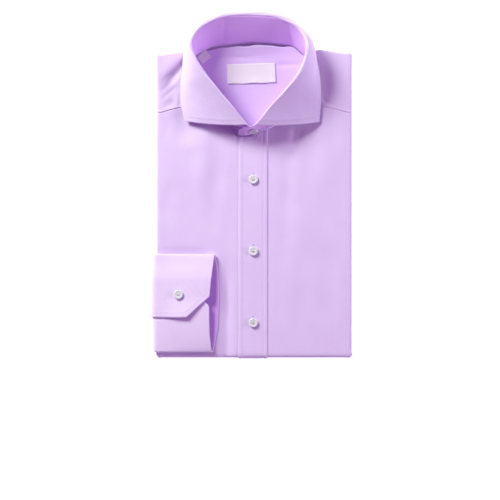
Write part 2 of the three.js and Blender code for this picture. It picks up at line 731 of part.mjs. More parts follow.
function buttonGeometry() {
  const { radius, thick, rim, dish } = BUTTON;
  const profile = [
    [0, 0],
    [radius - 0.9, 0],
    [radius, 0.9],
    [radius, thick - 0.5],
    [radius - 0.5, thick],
    [radius - rim, thick],
    [radius - rim - 0.7, thick - dish],
    [0, thick - dish],
  ].map(([r, z]) => new THREE.Vector2(r, z));
  return new THREE.LatheGeometry(profile, 20).rotateX(Math.PI / 2);
}

// A flat piece of trim that lies on the back sheet.
function trimGeometry({ x, y, width, height, tilt }) {
  const box = new THREE.BoxGeometry(width, height, TRIM_WALL, 4, 2, 1);
  box.rotateZ(THREE.MathUtils.degToRad(tilt));
  return box.translate(x, y, BACK_SHEET.z + GAP + TRIM_WALL / 2);
}

const shirt = new THREE.Group();
shirt.position.set(ORIGIN.x, ORIGIN.y, 0);

function addPiece(name, geometry, colour, roughness = 0.82) {
  const material = new THREE.MeshStandardMaterial({ color: colour, roughness, metalness: 0 });
  const mesh = new THREE.Mesh(geometry, material);
  mesh.name = name;
  shirt.add(mesh);
  return mesh;
}

// A button whose foot stands on a point, facing along a direction.
function addButton(name, foot, facing) {
  const mesh = addPiece(name, buttonGeometry(), PEARL, 0.25);
  mesh.quaternion.setFromUnitVectors(new THREE.Vector3(0, 0, 1), facing);
  mesh.position.copy(foot).addScaledVector(facing, GAP);
}

const CENTRE = -1.2;
const rightFront = frontCloth(-1, CENTRE - GAP / 2);
const leftFront = frontCloth(1, CENTRE + GAP / 2);
const placket = placketCloth();
const sleeve = sleeveCloth();
const shoulders = [shoulderCloth(-1), shoulderCloth(1)];
const backSheet = backSheetCloth();

addPiece("right_front", rightFront.wall(0, SHIRTING), LILAC);
addPiece("left_front", leftFront.wall(0, SHIRTING), LILAC);
addPiece("front_placket", placket.wall(GAP + SHIRTING, -GAP), LILAC);
const yoke = [...shoulders, backSheet]
  .map((cloth) => solidOf(cloth.wall(0, SHIRTING)))
  .reduce((joined, part) => joined.add(part));
addPiece("yoke", geometryOf(yoke), LILAC);

const halfCollar = COLLAR_WALL / 2;
addPiece("collar_stand", standCloth().wall(halfCollar, halfCollar), LILAC_DEEP);
addPiece("collar_leaf", leafCloth().wall(halfCollar, halfCollar), LILAC);

addPiece("right_cuff", cuffCloth().wall(CUFF_WALL / 2, CUFF_WALL / 2), LILAC);
addPiece("right_sleeve", sleeve.wall(0, SLEEVE_WALL), LILAC);

// The hidden layers give way to each piece that lies on them or tucks in among them.
const ROOM = 0.4;
const roomFor = (cloth, out, inward) => solidOf(cloth.wall(out + ROOM, inward + ROOM, ROOM));
const layers = [
  solidOf(basinGeometry()),
  roomFor(rightFront, 0, SHIRTING),
  roomFor(leftFront, 0, SHIRTING),
  roomFor(placket, GAP + SHIRTING, 0),
  roomFor(sleeve, 0, SLEEVE_WALL),
  solidOf(cornerRoomGeometry(-1)),
  solidOf(cornerRoomGeometry(1)),
  ...[...shoulders, backSheet].map((cloth) => roomFor(cloth, 0, SHIRTING)),
].reduce((left, room) => left.subtract(room), solidOf(layersGeometry()));
addPiece("folded_layers", geometryOf(largest(layers)), LILAC_DEEP);

addPiece("neck_label", trimGeometry(LABEL), 0xefe6f1, 0.6);
addPiece("size_tab", trimGeometry(SIZE_TAB), 0xbfa3cf, 0.7);

const up = new THREE.Vector3(0, 0, 1);
FRONT_BUTTONS.y.forEach((y, i) => {
  const z = topHeight(FRONT_BUTTONS.x, y) + GAP + SHIRTING;
  addButton(`front_button_${i + 1}`, new THREE.Vector3(FRONT_BUTTONS.x, y, z), up);
});

const cuffTop = cuffTopHeight(CUFF_BUTTON.x, CUFF_BUTTON.y) + CUFF_BUTTON.shank;
addButton("cuff_button", new THREE.Vector3(CUFF_BUTTON.x, CUFF_BUTTON.y, cuffTop), up);

const standFoot = neckCurve.getPoint(STAND_SHARE);
const standTop = foldCurve.getPoint(STAND_SHARE);
const standUp = standTop.clone().sub(standFoot).normalize();
const standOut = new THREE.Vector3(1, 0, 0).cross(standUp);
const collarButton = standFoot.clone().lerp(standTop, COLLAR_BUTTON.share);
collarButton.addScaledVector(standOut, halfCollar + COLLAR_BUTTON.shank);
addButton("collar_button", collarButton, standOut);

export default shirt;
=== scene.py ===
"""Looks of the folded dress shirt: fine cloth, stitching, buttons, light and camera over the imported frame."""

import math
from collections import namedtuple

import bpy
import numpy as np
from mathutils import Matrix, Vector


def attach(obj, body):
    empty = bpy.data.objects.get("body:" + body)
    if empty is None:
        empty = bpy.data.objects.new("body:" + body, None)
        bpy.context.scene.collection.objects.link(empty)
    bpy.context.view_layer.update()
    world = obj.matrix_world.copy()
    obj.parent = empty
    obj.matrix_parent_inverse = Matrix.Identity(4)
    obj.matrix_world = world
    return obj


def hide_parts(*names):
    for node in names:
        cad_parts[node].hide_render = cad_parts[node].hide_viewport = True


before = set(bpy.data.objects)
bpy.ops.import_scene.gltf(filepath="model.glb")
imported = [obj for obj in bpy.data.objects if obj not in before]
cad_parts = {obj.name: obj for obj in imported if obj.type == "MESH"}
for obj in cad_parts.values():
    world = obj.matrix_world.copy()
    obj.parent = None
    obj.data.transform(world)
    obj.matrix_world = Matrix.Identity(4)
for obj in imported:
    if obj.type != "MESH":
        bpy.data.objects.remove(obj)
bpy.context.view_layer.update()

# Sizes are in millimetres in the pack's own axes, as in the CAD: x from its centre line, y from its
# bottom fold. ORIGIN moves them to the model's axes.
ORIGIN = np.array([3.05, -205.75, 0.0])
HALF_WIDTH = 117.5
TOP = 16.6
CROWN = 1.2
CENTRE = -1.2

Turn = namedtuple("Turn", "reach floor")
SIDE_TURN = Turn(6.0, 4.6)
BOTTOM_TURN = Turn(7.0, 1.8)
SHOULDER_TURN = Turn(3.6, 9.9)
LIP = 10.0
CORNER_LIP = -0.5
TURN_END = math.radians(168)
TURN_STEPS = 16
SQUARE = 0.55  # 1 turns the edges along a round section, less along a squarer one

YOKE_SEAM = {"side_y": 293.6, "neck_y": 305.5, "neck_x": 60.0, "bow": 2.2}
SHOULDER_X = [-117.5, -84, -73, 66, 80, 117.5]
SHOULDER_Y = [362.5, 368.8, 366.5, 368, 370, 364.6]
PLACKET = (-18.7, 16.3)
BACK_SHEET = {"z": 11.0, "left": -100.0, "right": 94.0, "low": 262.0, "side_high": 359.0}
NECK_CLEAR = 1.4
SEAM_GAP = 1.3  # how much more the back's inside stands off from the collar at the middle
UNDER_STAND_TAB_X = [-33, -22, 2, 13]
UNDER_STAND_TAB_Y = [284, 265.4, 265.4, 284]

Section = namedtuple("Section", "fold neck edge")
COLLAR = [
    Section((-8.3, 278.3, 43), (-8.3, 271, 16.2), (-82.8, 284.4, 20.2)),
    Section((-25.8, 299.8, 47.5), (-42, 287, 16.2), (-85.6, 297, 20.4)),
    Section((-45.5, 323, 50.5), (-61, 310, 16.2), (-87.4, 311, 20.4)),
    Section((-61.3, 342.4, 52.6), (-70, 334, 16.2), (-88, 325, 20.4)),
    Section((-71, 358.7, 53), (-73.6, 352, 15.6), (-86.4, 342, 20.2)),
    Section((-76.1, 373.7, 50.5), (-70.6, 362.2, 13.6), (-83.8, 361, 19.2)),
    Section((-72.1, 386.4, 46.2), (-62.6, 368, 13.2), (-80, 375, 13)),
    Section((-59.6, 399.7, 41.2), (-50, 374, 12), (-67, 382, 4)),
    Section((-36.8, 410.8, 36.6), (-33, 375.8, 11), (-38, 384.5, 2.6)),
    Section((-2.3, 413.1, 34.5), (-3, 378.6, 11), (-2, 385.5, 2.4)),
    Section((29.8, 409.5, 36), (30, 377.2, 11), (30, 384, 2.6)),
    Section((49.6, 398.6, 40.2), (47, 374.4, 11.2), (55, 381.5, 4)),
    Section((60.9, 384.3, 45.6), (56.4, 367.4, 11.2), (69, 375.5, 13)),
    Section((63.2, 369.3, 50.2), (64.4, 360, 12.6), (73.4, 362, 19.2)),
    Section((59.2, 352.3, 53), (68, 348, 15.8), (77.4, 345, 20.2)),
    Section((49.4, 334.2, 52), (66.6, 331, 16.2), (79.2, 328, 20.4)),
    Section((35.5, 317.9, 50), (58, 309, 16.2), (79.5, 312, 20.4)),
    Section((17.8, 298.5, 47), (38, 286.4, 16.2), (78.8, 297.6, 20.4)),
    Section((0.2, 278.1, 43), (-1, 270.4, 16.2), (77.6, 283.3, 20.2)),
]
STAND_TAB = [
    Section((-9.5, 276, 41), (-9.5, 267.2, 20.4), None),
    Section((-18.5, 276.4, 36), (-18.5, 267.5, 20.8), None),
]
ROLL = 1.9
BACK_ROLL = 1.0  # how much wider the fold is at the back of the neck
LEAF_SWELL = 2.6
LEAF_BOW = 2.8
LEAF_HEM = 6.6  # from the leaf's edge to its topstitching

SINGLE_WALL = 0.5  # one layer of cloth
LINED_WALL = 1.3  # two layers with interlining, in the collar and the cuff
SEAM_WIDE = 1.3  # half width of the relief along the yoke's seam
SEAM_DIP = 0.45  # how far the front sinks at that seam
SEAM_RIDGE = 0.6  # how far the shoulder stands up there

CUFF = {"low": 6.5, "high": 125.0, "overlap_end": 49.2, "under_end": 90.0}
CUFF_OPEN = (5.6, 0.5)  # height of the hollow at the mouth and at the seam
FLAP_CORNER_RISE = 1.5  # how far the cut corner of the flap stands off the layer under it
CUFF_WALL = 1.6
CUFF_BACK = 0.3 + CUFF_WALL / 2
CUFF_TURN_STEPS = 3
CUFF_HEM = 5.6
CUFF_FLAT_SHARE = 6 / 9
PLACKET_HEM = 5.4
CORNER_STEPS = 9
LAYER_STEPS = 56
# The mouth's edge: for each layer, y and x from the bottom fold to the top fold.
MOUTH_UNDER = ([6.5, 30, 60, 63, 65, 67, 90], [-51.5, -54, -54.4, -55.3, -57, -60, -80])
MOUTH_BACK = ([6.5, 35, 75, 105, 125], [-50, -44.5, -42.8, -43.8, -47.8])
MOUTH_FLAP = ([49.2, 62, 74, 90, 110, 125], [-81.4, -67.6, -53.8, -52.6, -50, -47.8])

FRONT_BUTTONS_Y = [214, 128, 42]
CUFF_BUTTON = (-90.6, 76.2)

# Soft folds of the upper face, a ridge or a trough (below zero) each, with a half width and a height.
Fold = namedtuple("Fold", "x0 y0 x1 y1 wide high")
FOLDS = [
    Fold(-72, 367, -105, 328, 5.2, -2.7),
    Fold(-66, 354, -102, 314, 15, -2.6),
    Fold(-97, 360, -114, 334, 8, 0.8),
    Fold(-84, 300, -81, 262, 12, -2.6),
    Fold(-57, 290, -62, 200, 13, 1.9),
    Fold(-44, 240, -48, 150, 11, -0.8),
    Fold(-33.5, 122, -33.5, -44, 7.5, -4.0),
    Fold(82, 350, 88, 304, 10, -1.8),
    Fold(56, 276, 44, 236, 7, -1.4),
    Fold(88, 286, 84, 196, 13, 0.9),
    Fold(92, 150, 90, 36, 10, -0.8),
    Fold(56, 190, 50, 60, 14, 0.8),
    # Finer ones, only in the cloth.
    Fold(-95, 335, -115, 317, 2.4, -0.3),
    Fold(-91, 328, -113, 308, 2.2, -0.3),
    Fold(-98, 343, -112, 331, 2.0, -0.15),
    Fold(-96, 308, -106, 302, 4.5, -0.9),
    Fold(-88, 320, -89.5, 298, 2.4, -0.8),
    Fold(-104, 288, -106, 262, 4.5, -0.35),
    Fold(-100, 208, -109, 168, 9, -0.5),
    Fold(81, 312, 90, 304, 2.6, -0.9),
    Fold(84, 301, 110, 296, 2.4, 0.3),
    Fold(48, 276, 45, 254, 3.6, -0.7),
    Fold(38, 268, 42, 160, 7, -0.55),
    Fold(104, 300, 106, 230, 7, 0.35),
    Fold(-30, 250, -34, 176, 8, 0.4),
    Fold(-96, 160, -88, 128, 9, 0.5),
    Fold(28, 150, 34, 40, 8, -0.35),
    Fold(70, 120, 74, 20, 9, 0.4),
    Fold(106, 120, 104, 20, 6, 0.35),
    Fold(-30, 110, -27, 30, 7, 0.35),
]
# Long, low waves of ironed cotton: their length across and along, where they start and their height.
Wave = namedtuple("Wave", "across along start high")
WAVES = [
    Wave(37, 240, 0.4, 0.10),
    Wave(-61, 170, 2.1, 0.13),
    Wave(23, -310, 4.0, 0.045),
    Wave(140, 58, 1.2, 0.06),
]


# Folds of a front alone, that what lies on it doesn't follow.
FRONT_FOLDS = [
    Fold(-122, 124, -46, 123, 7, -2.2),
]


def ease(value, low, high):
    share = np.clip((np.asarray(value, float) - low) / (high - low), 0, 1)
    return share * share * (3 - 2 * share)


def mix(a, b, share):
    return a + (b - a) * share


def fold_height(fold, x, y):
    """Height of one soft fold over points: a bell across it, dying away at both ends."""
    dx, dy = fold.x1 - fold.x0, fold.y1 - fold.y0
    long = math.hypot(dx, dy)
    along = ((x - fold.x0) * dx + (y - fold.y0) * dy) / long
    off = ((x - fold.x0) * dy - (y - fold.y0) * dx) / long
    ends = ease(along, -fold.wide, 0.3 * long) * (1 - ease(along, 0.7 * long, long + fold.wide))
    return fold.high * np.exp(-((off / fold.wide) ** 2)) * ends


def top_height(x, y):
    """Upper face of the fronts and the shoulders."""
    z = TOP + CROWN * (1 - (x / HALF_WIDTH) ** 2)
    for fold in FOLDS:
        z = z + fold_height(fold, x, y)
    for wave in WAVES:
        z = z + wave.high * np.sin(2 * math.pi * (x / wave.across + y / wave.along) + wave.start)
    return z


def side_floor(y):
    floor = mix(SIDE_TURN.floor, BOTTOM_TURN.floor, 1 - ease(y, BOTTOM_TURN.reach, 18))
    return mix(floor, SHOULDER_TURN.floor, ease(y, 338, 356))


def lengths(points):
    """Distance along a line of points from its first one."""
    steps = np.linalg.norm(np.diff(points, axis=0), axis=-1)
    return np.concatenate([np.zeros_like(steps[:1]), np.cumsum(steps, axis=0)])


def curve(rows, share):
    """Points on a centripetal Catmull-Rom curve through rows, at shares from 0 to 1 of the rows."""
    p = np.array(rows, float)
    p = np.concatenate([[2 * p[0] - p[1]], p, [2 * p[-1] - p[-2]]])
    at = np.clip(np.asarray(share, float), 0, 1) * (len(rows) - 1)
    i = np.minimum(at.astype(int), len(rows) - 2)
    w = (at - i)[:, None]
    a, b, c, d = p[i], p[i + 1], p[i + 2], p[i + 3]
    ab, bc, cd = (np.sqrt(np.linalg.norm(v - u, axis=1))[:, None] for u, v in ((a, b), (b, c), (c, d)))
    t1 = ((b - a) / ab - (c - a) / (ab + bc) + (c - b) / bc) * bc
    t2 = ((c - b) / bc - (d - b) / (bc + cd) + (d - c) / cd) * bc
    return b + t1 * w + (3 * (c - b) - 2 * t1 - t2) * w**2 + (2 * (b - c) + t1 + t2) * w**3


class Cloth:
    """A sheet of cloth: the points of its outer side, each with its place in the cut, and its faces."""

    def __init__(self):
        self.points = np.zeros((0, 3))
        self.cut = np.zeros((0, 2))
        self.faces = []

    def add(self, points, cut):
        first = len(self.points)
        self.points = np.concatenate([self.points, points.reshape(-1, 3)])
        self.cut = np.concatenate([self.cut, cut.reshape(-1, 2)])
        return first + np.arange(points.size // 3).reshape(points.shape[:-1])

    def join(self, index):
        """Faces between the rows and columns of an array of point numbers."""
        corners = (index[:-1, :-1], index[:-1, 1:], index[1:, 1:], index[1:, :-1])
        self.faces.append(np.stack(corners, axis=-1).reshape(-1, 4))

    def grid(self, points, cut=None):
        if cut is None:
            cut = np.stack([lengths(points.swapaxes(0, 1)).T, lengths(points)], axis=-1)
        index = self.add(points, cut)
        self.join(index)
        return index

    def turn_under(self, base, out, reach, floor, lip):
        """Turns the cloth under the pack from base points in anticlockwise order."""
        start = self.points[base][:, None]
        out = np.asarray(out, float)[:, None]
        reach, floor, lip = (np.asarray(v, float)[:, None] for v in (reach, floor, lip))
        angle = TURN_END * np.arange(1, TURN_STEPS + 1) / TURN_STEPS
        drop = (start[..., 2] - floor) / 2
        r = reach * np.sin(angle) ** SQUARE
        z = start[..., 2] - drop * (1 - np.sign(np.cos(angle)) * np.abs(np.cos(angle)) ** SQUARE)
        for share in (0.35, 0.7, 1.0):
            r = np.concatenate([r, mix(r[:, TURN_STEPS - 1 : TURN_STEPS], -lip, share)], axis=1)
            z = np.concatenate([z, mix(z[:, TURN_STEPS - 1 : TURN_STEPS], floor, share)], axis=1)
        xy = start[..., :2] + out * r[..., None]
        points = np.concatenate([xy, z[..., None]], axis=-1)
        steps = np.linalg.norm(np.diff(np.concatenate([start, points], axis=1), axis=1), axis=-1)
        cut = self.cut[base][:, None] + out * np.cumsum(steps, axis=1)[..., None]
        index = np.concatenate([base[:, None], self.add(points, cut)], axis=1)
        self.join(index)

    def all_faces(self):
        """Faces as lists of point numbers, with no number twice in a row."""
        quads = np.concatenate(self.faces)
        return [[a for k, a in enumerate(q) if a != q[k - 1]] for q in quads.tolist()]

    def normals(self):
        q = np.concatenate(self.faces)
        p = self.points
        cross = np.cross(p[q[:, 2]] - p[q[:, 0]], p[q[:, 3]] - p[q[:, 1]])
        total = np.zeros_like(p)
        for k in range(4):
            np.add.at(total, q[:, k], cross)
        return total / np.maximum(np.linalg.norm(total, axis=1), 1e-12)[:, None]

    def lift(self, heights):
        self.points = self.points + self.normals() * np.asarray(heights)[:, None]

    def rim(self, normals):
        """The rim's edges and the way out of the sheet at each of their points."""
        q = np.concatenate(self.faces)
        edges = np.stack([q, np.roll(q, -1, axis=1)], axis=-1).reshape(-1, 2)
        edges = edges[edges[:, 0] != edges[:, 1]]
        size = len(self.points)
        free = ~np.isin(edges[:, 0] * size + edges[:, 1], edges[:, 1] * size + edges[:, 0])
        edges = edges[free]
        ways = np.zeros_like(self.points)
        for k in (0, 1):
            way = np.cross(self.points[edges[:, 1]] - self.points[edges[:, 0]], normals[edges[:, k]])
            np.add.at(ways, edges[:, k], way / np.maximum(np.linalg.norm(way, axis=1), 1e-12)[:, None])
        return edges, ways / np.maximum(np.linalg.norm(ways, axis=1), 1e-12)[:, None]


def make_object(name, points, faces, material, cut=None, hem=None):
    """A mesh object that rides on the shirt, from points in millimetres in the pack's axes."""
    mesh = bpy.data.meshes.new(name)
    mesh.from_pydata(((points + ORIGIN) / 1000).tolist(), [], faces)
    mesh.update()
    if cut is not None:
        layer = mesh.uv_layers.new(name="Cut")
        corners = np.zeros(len(mesh.loops), int)
        mesh.loops.foreach_get("vertex_index", corners)
        layer.data.foreach_set("uv", cut[corners].ravel())
    if hem is not None:
        mesh.attributes.new("hem", "FLOAT", "POINT").data.foreach_set("value", hem)
    mesh.shade_smooth()
    mesh.set_sharp_from_angle(angle=math.radians(55))
    mesh.materials.append(material)
    piece = bpy.data.objects.new(name, mesh)
    bpy.context.scene.collection.objects.link(piece)
    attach(piece, "root")
    return piece


def cloth_object(name, cloth, wall, material, hem=None, outward=0.0, rounding=1.0, far_side=None):
    """A closed thin wall on a sheet of cloth: it reaches outward from it, and the rest inward."""
    normals = cloth.normals()
    edges, ways = cloth.rim(normals)
    count = len(cloth.points)
    inward = wall - outward
    outer = cloth.points + normals * outward
    inner = cloth.points - normals * inward
    rim_points = np.unique(edges)
    middle = np.zeros(count, int)
    middle[rim_points] = 2 * count + np.arange(len(rim_points))
    mid = (outer + inner)[rim_points] / 2 + ways[rim_points] * rounding * wall / 2
    faces = cloth.all_faces()
    closed = faces + [[a + count for a in reversed(face)] for face in faces]
    for a, b in edges.tolist():
        closed.append([b, a, int(middle[a]), int(middle[b])])
        closed.append([int(middle[b]), int(middle[a]), a + count, b + count])
    points = np.concatenate([outer, inner, mid])
    cut = np.concatenate([cloth.cut, cloth.cut, cloth.cut[rim_points]])
    if hem is None:
        hem = np.full(count, 99.0)
    hem = np.concatenate([hem, hem, np.zeros(len(rim_points))])
    piece = make_object(name, points, closed, material, cut, hem)
    if far_side is not None:
        piece.data.materials.append(far_side)
        for polygon in piece.data.polygons[len(faces) :]:
            polygon.material_index = 1
    return piece


def lined_object(name, cloth, material, hem=None, far_side=None):
    """Two layers and interlining, half of the wall on each side of the sheet."""
    return cloth_object(name, cloth, LINED_WALL, material, hem, LINED_WALL / 2, far_side=far_side)


def pillow(hem, wide, high=0.22, groove=0.22):
    """Relief of a topstitched edge: it stands a little proud, and the stitches pull it in."""
    rise = high * np.sin(math.pi * np.clip(hem / wide, 0, 1))
    return rise - groove * np.exp(-(((hem - wide) / 0.75) ** 2))


def nearest(points, line):
    """Distance from each point to the nearest of a line's points."""
    found = np.full(len(points), 1e9)
    for part in np.array_split(np.arange(len(points)), max(1, len(points) // 2000)):
        away = np.linalg.norm(points[part][:, None] - line[None], axis=-1)
        found[part] = away.min(axis=1)
    return found


def dense(line, step=0.8):
    """The same line with points close together."""
    at = lengths(line)
    wanted = np.linspace(0, at[-1], max(2, int(at[-1] / step)))
    return np.stack([np.interp(wanted, at, line[:, k]) for k in range(line.shape[1])], axis=1)


# Materials.
Yarn = namedtuple("Yarn", "pale deep")
LILAC = Yarn((0.81, 0.69, 0.92, 1), (0.69, 0.53, 0.86, 1))
# Painted light: the cuff's yarn is a paler copy of the body's, to make the cuff brighter.
CUFF_PAINTED_LIGHT_LILAC = Yarn((0.86, 0.75, 0.95, 1), (0.75, 0.60, 0.89, 1))
# Painted shade: a deeper, bluer copy of the body's cloth for the collar stand, standing in for the shade and
# coloured bounce light inside the collar.
STAND_PAINTED_SHADE_LILAC = Yarn((0.86, 0.60, 1.0, 1), (0.76, 0.48, 1.0, 1))
# Painted light: the collar's yarn is a paler copy of the body's, to make the collar leaves brighter.
COLLAR_PAINTED_LIGHT_LILAC = Yarn((0.88, 0.77, 0.97, 1), (0.74, 0.60, 0.90, 1))
# Painted shade: a darker copy of the body's cloth for the back's inside in the neck, standing in for the shade
# there.
INSIDE_PAINTED_SHADE_LILAC = Yarn((0.75, 0.61, 0.89, 1), (0.62, 0.45, 0.82, 1))
# Painted shade: a deep, saturated violet for the side of the cuff that faces its hollow, standing in for the
# shade in the cuff's mouth.
CUFF_HOLLOW_PAINTED_SHADE_LILAC = Yarn((0.77, 0.50, 0.98, 1), (0.66, 0.38, 0.92, 1))


def node(tree, kind, inputs=None, **settings):
    made = tree.nodes.new(kind)
    for key, value in settings.items():
        setattr(made, key, value)
    for key, value in (inputs or {}).items():
        if isinstance(value, bpy.types.NodeSocket):
            tree.links.new(value, made.inputs[key])
        else:
            made.inputs[key].default_value = value
    return made


def new_material(name, roughness=0.8):
    material = bpy.data.materials.new(name)
    material.use_nodes = True
    tree = material.node_tree
    shader = tree.nodes["Principled BSDF"]
    shader.inputs["Roughness"].default_value = roughness
    return material, tree, shader


def noise(tree, place, scale, detail, **more):
    inputs = {"Vector": place, "Scale": scale, "Detail": detail, **more}
    return node(tree, "ShaderNodeTexNoise", inputs).outputs["Fac"]


def maths(tree, operation, *values, clamp=False):
    inputs = dict(enumerate(values))
    return node(tree, "ShaderNodeMath", inputs, operation=operation, use_clamp=clamp).outputs[0]


def blend(tree, factor, a, b):
    inputs = {"Factor": factor, "A": a, "B": b}
    return node(tree, "ShaderNodeMix", inputs, data_type="RGBA").outputs["Result"]


def bump(tree, height, strength, distance, **more):
    inputs = {"Height": height, "Strength": strength, "Distance": distance, **more}
    return node(tree, "ShaderNodeBump", inputs).outputs[0]


def stripes(tree, place, slant, pitch, distortion, detail_scale):
    """Bands a pitch apart, in millimetres of the cut, turned by a slant in degrees."""
    turned = node(tree, "ShaderNodeMapping", {"Vector": place, "Rotation": (0, 0, math.radians(slant))})
    inputs = {
        "Vector": turned.outputs["Vector"],
        "Scale": math.pi / 10 / pitch,
        "Distortion": distortion,
        "Detail": 1.0,
        "Detail Scale": detail_scale,
    }
    return node(tree, "ShaderNodeTexWave", inputs, wave_type="BANDS").outputs["Fac"]


def shirting(name, yarn=LILAC, twill=0.62, rib=0.0, contrast=0.5):
    """Cotton twill: diagonal lines a thread's width apart, uneven yarn, soft creases and perhaps ribs."""
    material, tree, shader = new_material(name, 0.78)
    cut = node(tree, "ShaderNodeUVMap", uv_map="Cut").outputs["UV"]
    wave = stripes(tree, cut, 63, twill, 0.6, 0.4)
    yarns = maths(tree, "MULTIPLY", noise(tree, cut, 2.2, 3.0), 0.25)
    cloudy = noise(tree, cut, 0.035, 3.0)
    share = maths(tree, "MULTIPLY_ADD", wave, contrast, yarns)
    share = maths(tree, "MULTIPLY_ADD", cloudy, 0.5, share)
    soft = bump(tree, noise(tree, cut, 0.16, 4.0), 0.5, 0.0002)
    if rib:
        ribs = maths(tree, "MULTIPLY", stripes(tree, cut, 5, rib, 1.2, 0.3), noise(tree, cut, 0.03, 1.0))
        share = maths(tree, "MULTIPLY_ADD", ribs, 1.7, share)
        soft = bump(tree, ribs, 0.8, 0.0003, Normal=soft)
    share = maths(tree, "SUBTRACT", share, 0.35, clamp=True)
    tree.links.new(blend(tree, share, yarn.pale, yarn.deep), shader.inputs["Base Color"])
    tree.links.new(bump(tree, wave, 0.35, 0.00006, Normal=soft), shader.inputs["Normal"])
    shader.inputs["Sheen Weight"].default_value = 0.14
    shader.inputs["Sheen Roughness"].default_value = 0.4
    shader.inputs["Sheen Tint"].default_value = (0.95, 0.88, 1.0, 1)
    shader.inputs["Specular IOR Level"].default_value = 0.25
    return material


def plain_material(name, colour, roughness, scale=0.8, depth=0.00005, deep=0.88):
    """A plain material with fine grain in its colour and surface."""
    material, tree, shader = new_material(name, roughness)
    place = node(tree, "ShaderNodeTexCoord").outputs["Object"]
    grain = noise(tree, place, scale * 1000, 3.0)
    darker = tuple(c * deep for c in colour[:3]) + (1,)
    tree.links.new(blend(tree, grain, colour, darker), shader.inputs["Base Color"])
    tree.links.new(bump(tree, grain, 0.4, depth), shader.inputs["Normal"])
    return material


def pearl_material():
    """Pearly button plastic: cloudy pale bands that drift between green and pink greys."""
    material, tree, shader = new_material("button_pearl", 0.22)
    place = node(tree, "ShaderNodeTexCoord").outputs["Object"]
    cloud = noise(tree, place, 260.0, 2.0, Distortion=1.4)
    ramp = node(tree, "ShaderNodeValToRGB", {"Fac": cloud})
    colours = [(0.0, (0.70, 0.79, 0.71, 1)), (0.45, (0.78, 0.85, 0.79, 1)), (1.0, (0.82, 0.84, 0.82, 1))]
    ramp.color_ramp.elements.new(0.45)
    for element, (position, colour) in zip(ramp.color_ramp.elements, colours):
        element.position = position
        element.color = colour
    tree.links.new(ramp.outputs["Color"], shader.inputs["Base Color"])
    shader.inputs["Coat Weight"].default_value = 0.25
    shader.inputs["Coat Roughness"].default_value = 0.08
    return material


body_cloth = shirting("shirting_body")
# Painted light: a paler copy of the body's cloth for the collar leaf.
collar_painted_light_cloth = shirting("shirting_collar_painted_light", twill=0.7, rib=2.9, yarn=COLLAR_PAINTED_LIGHT_LILAC)
# Painted shade: the stand's cloth is darker and more violet than the body's, for the shade inside the collar.
stand_painted_shade_cloth = shirting("shirting_stand_painted_shade", yarn=STAND_PAINTED_SHADE_LILAC, twill=0.7)
# Painted shade: the back's inside is darker than the body's cloth, for the shade inside the neck.
inside_painted_shade_cloth = shirting("shirting_inside_painted_shade", yarn=INSIDE_PAINTED_SHADE_LILAC, contrast=0.4)
# Painted light: a paler copy of the body's cloth for the outside of the cuff.
cuff_painted_light_cloth = shirting("shirting_cuff_painted_light", yarn=CUFF_PAINTED_LIGHT_LILAC, twill=0.66)
# Painted shade: darker, more violet cloth for the inside of the cuff's hollow.
cuff_hollow_painted_shade_cloth = shirting("shirting_cuff_hollow_painted_shade", yarn=CUFF_HOLLOW_PAINTED_SHADE_LILAC, contrast=0.4)
thread = plain_material("thread", (0.72, 0.55, 0.86, 1), 0.6, 4.0)
button_thread = plain_material("button_thread", (0.80, 0.78, 0.82, 1), 0.55, 4.0)
label_cloth = plain_material("label_satin", (0.88, 0.86, 0.86, 1), 0.5, 1.6)
tab_cloth = plain_material("tab_tape", (0.97, 0.95, 0.96, 1), 0.7, 1.2, 0.0001, 0.75)
pearl = pearl_material()


# Small parts: stitches, buttonholes and buttons.
def stitch_points(centre, along, normal, long, radius):
    """Points of stitches: rings of six round each one's length."""
    side = np.cross(normal, along)
    rings = []
    for at, size in ((-0.5, 0.35), (-0.3, 1.0), (0.3, 1.0), (0.5, 0.35)):
        for k in range(6):
            turn = math.pi * k / 3
            way = side * math.cos(turn) + normal * math.sin(turn) * 0.8
            dip = -0.35 * radius if abs(at) == 0.5 else 0.0
            rings.append(centre + along * (at * long) + way * (size * radius) + normal * dip)
    return np.stack(rings, axis=1)


def stitch_faces(count):
    one = [[0, 1, 2, 3, 4, 5], [23, 22, 21, 20, 19, 18]]
    for ring in range(3):
        for k in range(6):
            a, b = ring * 6 + k, ring * 6 + (k + 1) % 6
            one.append([b, a, a + 6, b + 6])
    return [[a + 24 * n for a in face] for n in range(count) for face in one]


def add_stitches(name, lines, long=2.1, pitch=2.7, radius=0.2, material=None, sink=0.02):
    """Rows of stitches along lines, each a pair of point and normal arrays."""
    rows = []
    for points, normals in lines:
        at = lengths(points)
        count = int(at[-1] / pitch)
        if count < 1:
            continue
        middle = (np.arange(count) + 0.5) * at[-1] / count
        place = np.stack([np.interp(middle, at, points[:, k]) for k in range(3)], axis=1)
        ahead = np.stack([np.interp(middle + 0.3, at, points[:, k]) for k in range(3)], axis=1)
        behind = np.stack([np.interp(middle - 0.3, at, points[:, k]) for k in range(3)], axis=1)
        normal = np.stack([np.interp(middle, at, normals[:, k]) for k in range(3)], axis=1)
        normal /= np.linalg.norm(normal, axis=1)[:, None]
        along = ahead - behind
        along /= np.maximum(np.linalg.norm(along, axis=1), 1e-9)[:, None]
        along -= normal * np.sum(along * normal, axis=1)[:, None]
        rows.append(stitch_points(place - normal * sink, along, normal, long, radius))
    points = np.concatenate(rows)
    return make_object(name, points.reshape(-1, 3), stitch_faces(len(points)), material or thread)


def axes_for(normal, up):
    normal = np.array(normal, float) / np.linalg.norm(normal)
    side = np.cross(up, normal)
    side /= np.linalg.norm(side)
    return side, np.cross(normal, side), normal


def placed(local, centre, axes):
    return np.asarray(centre) + local @ np.array(axes)


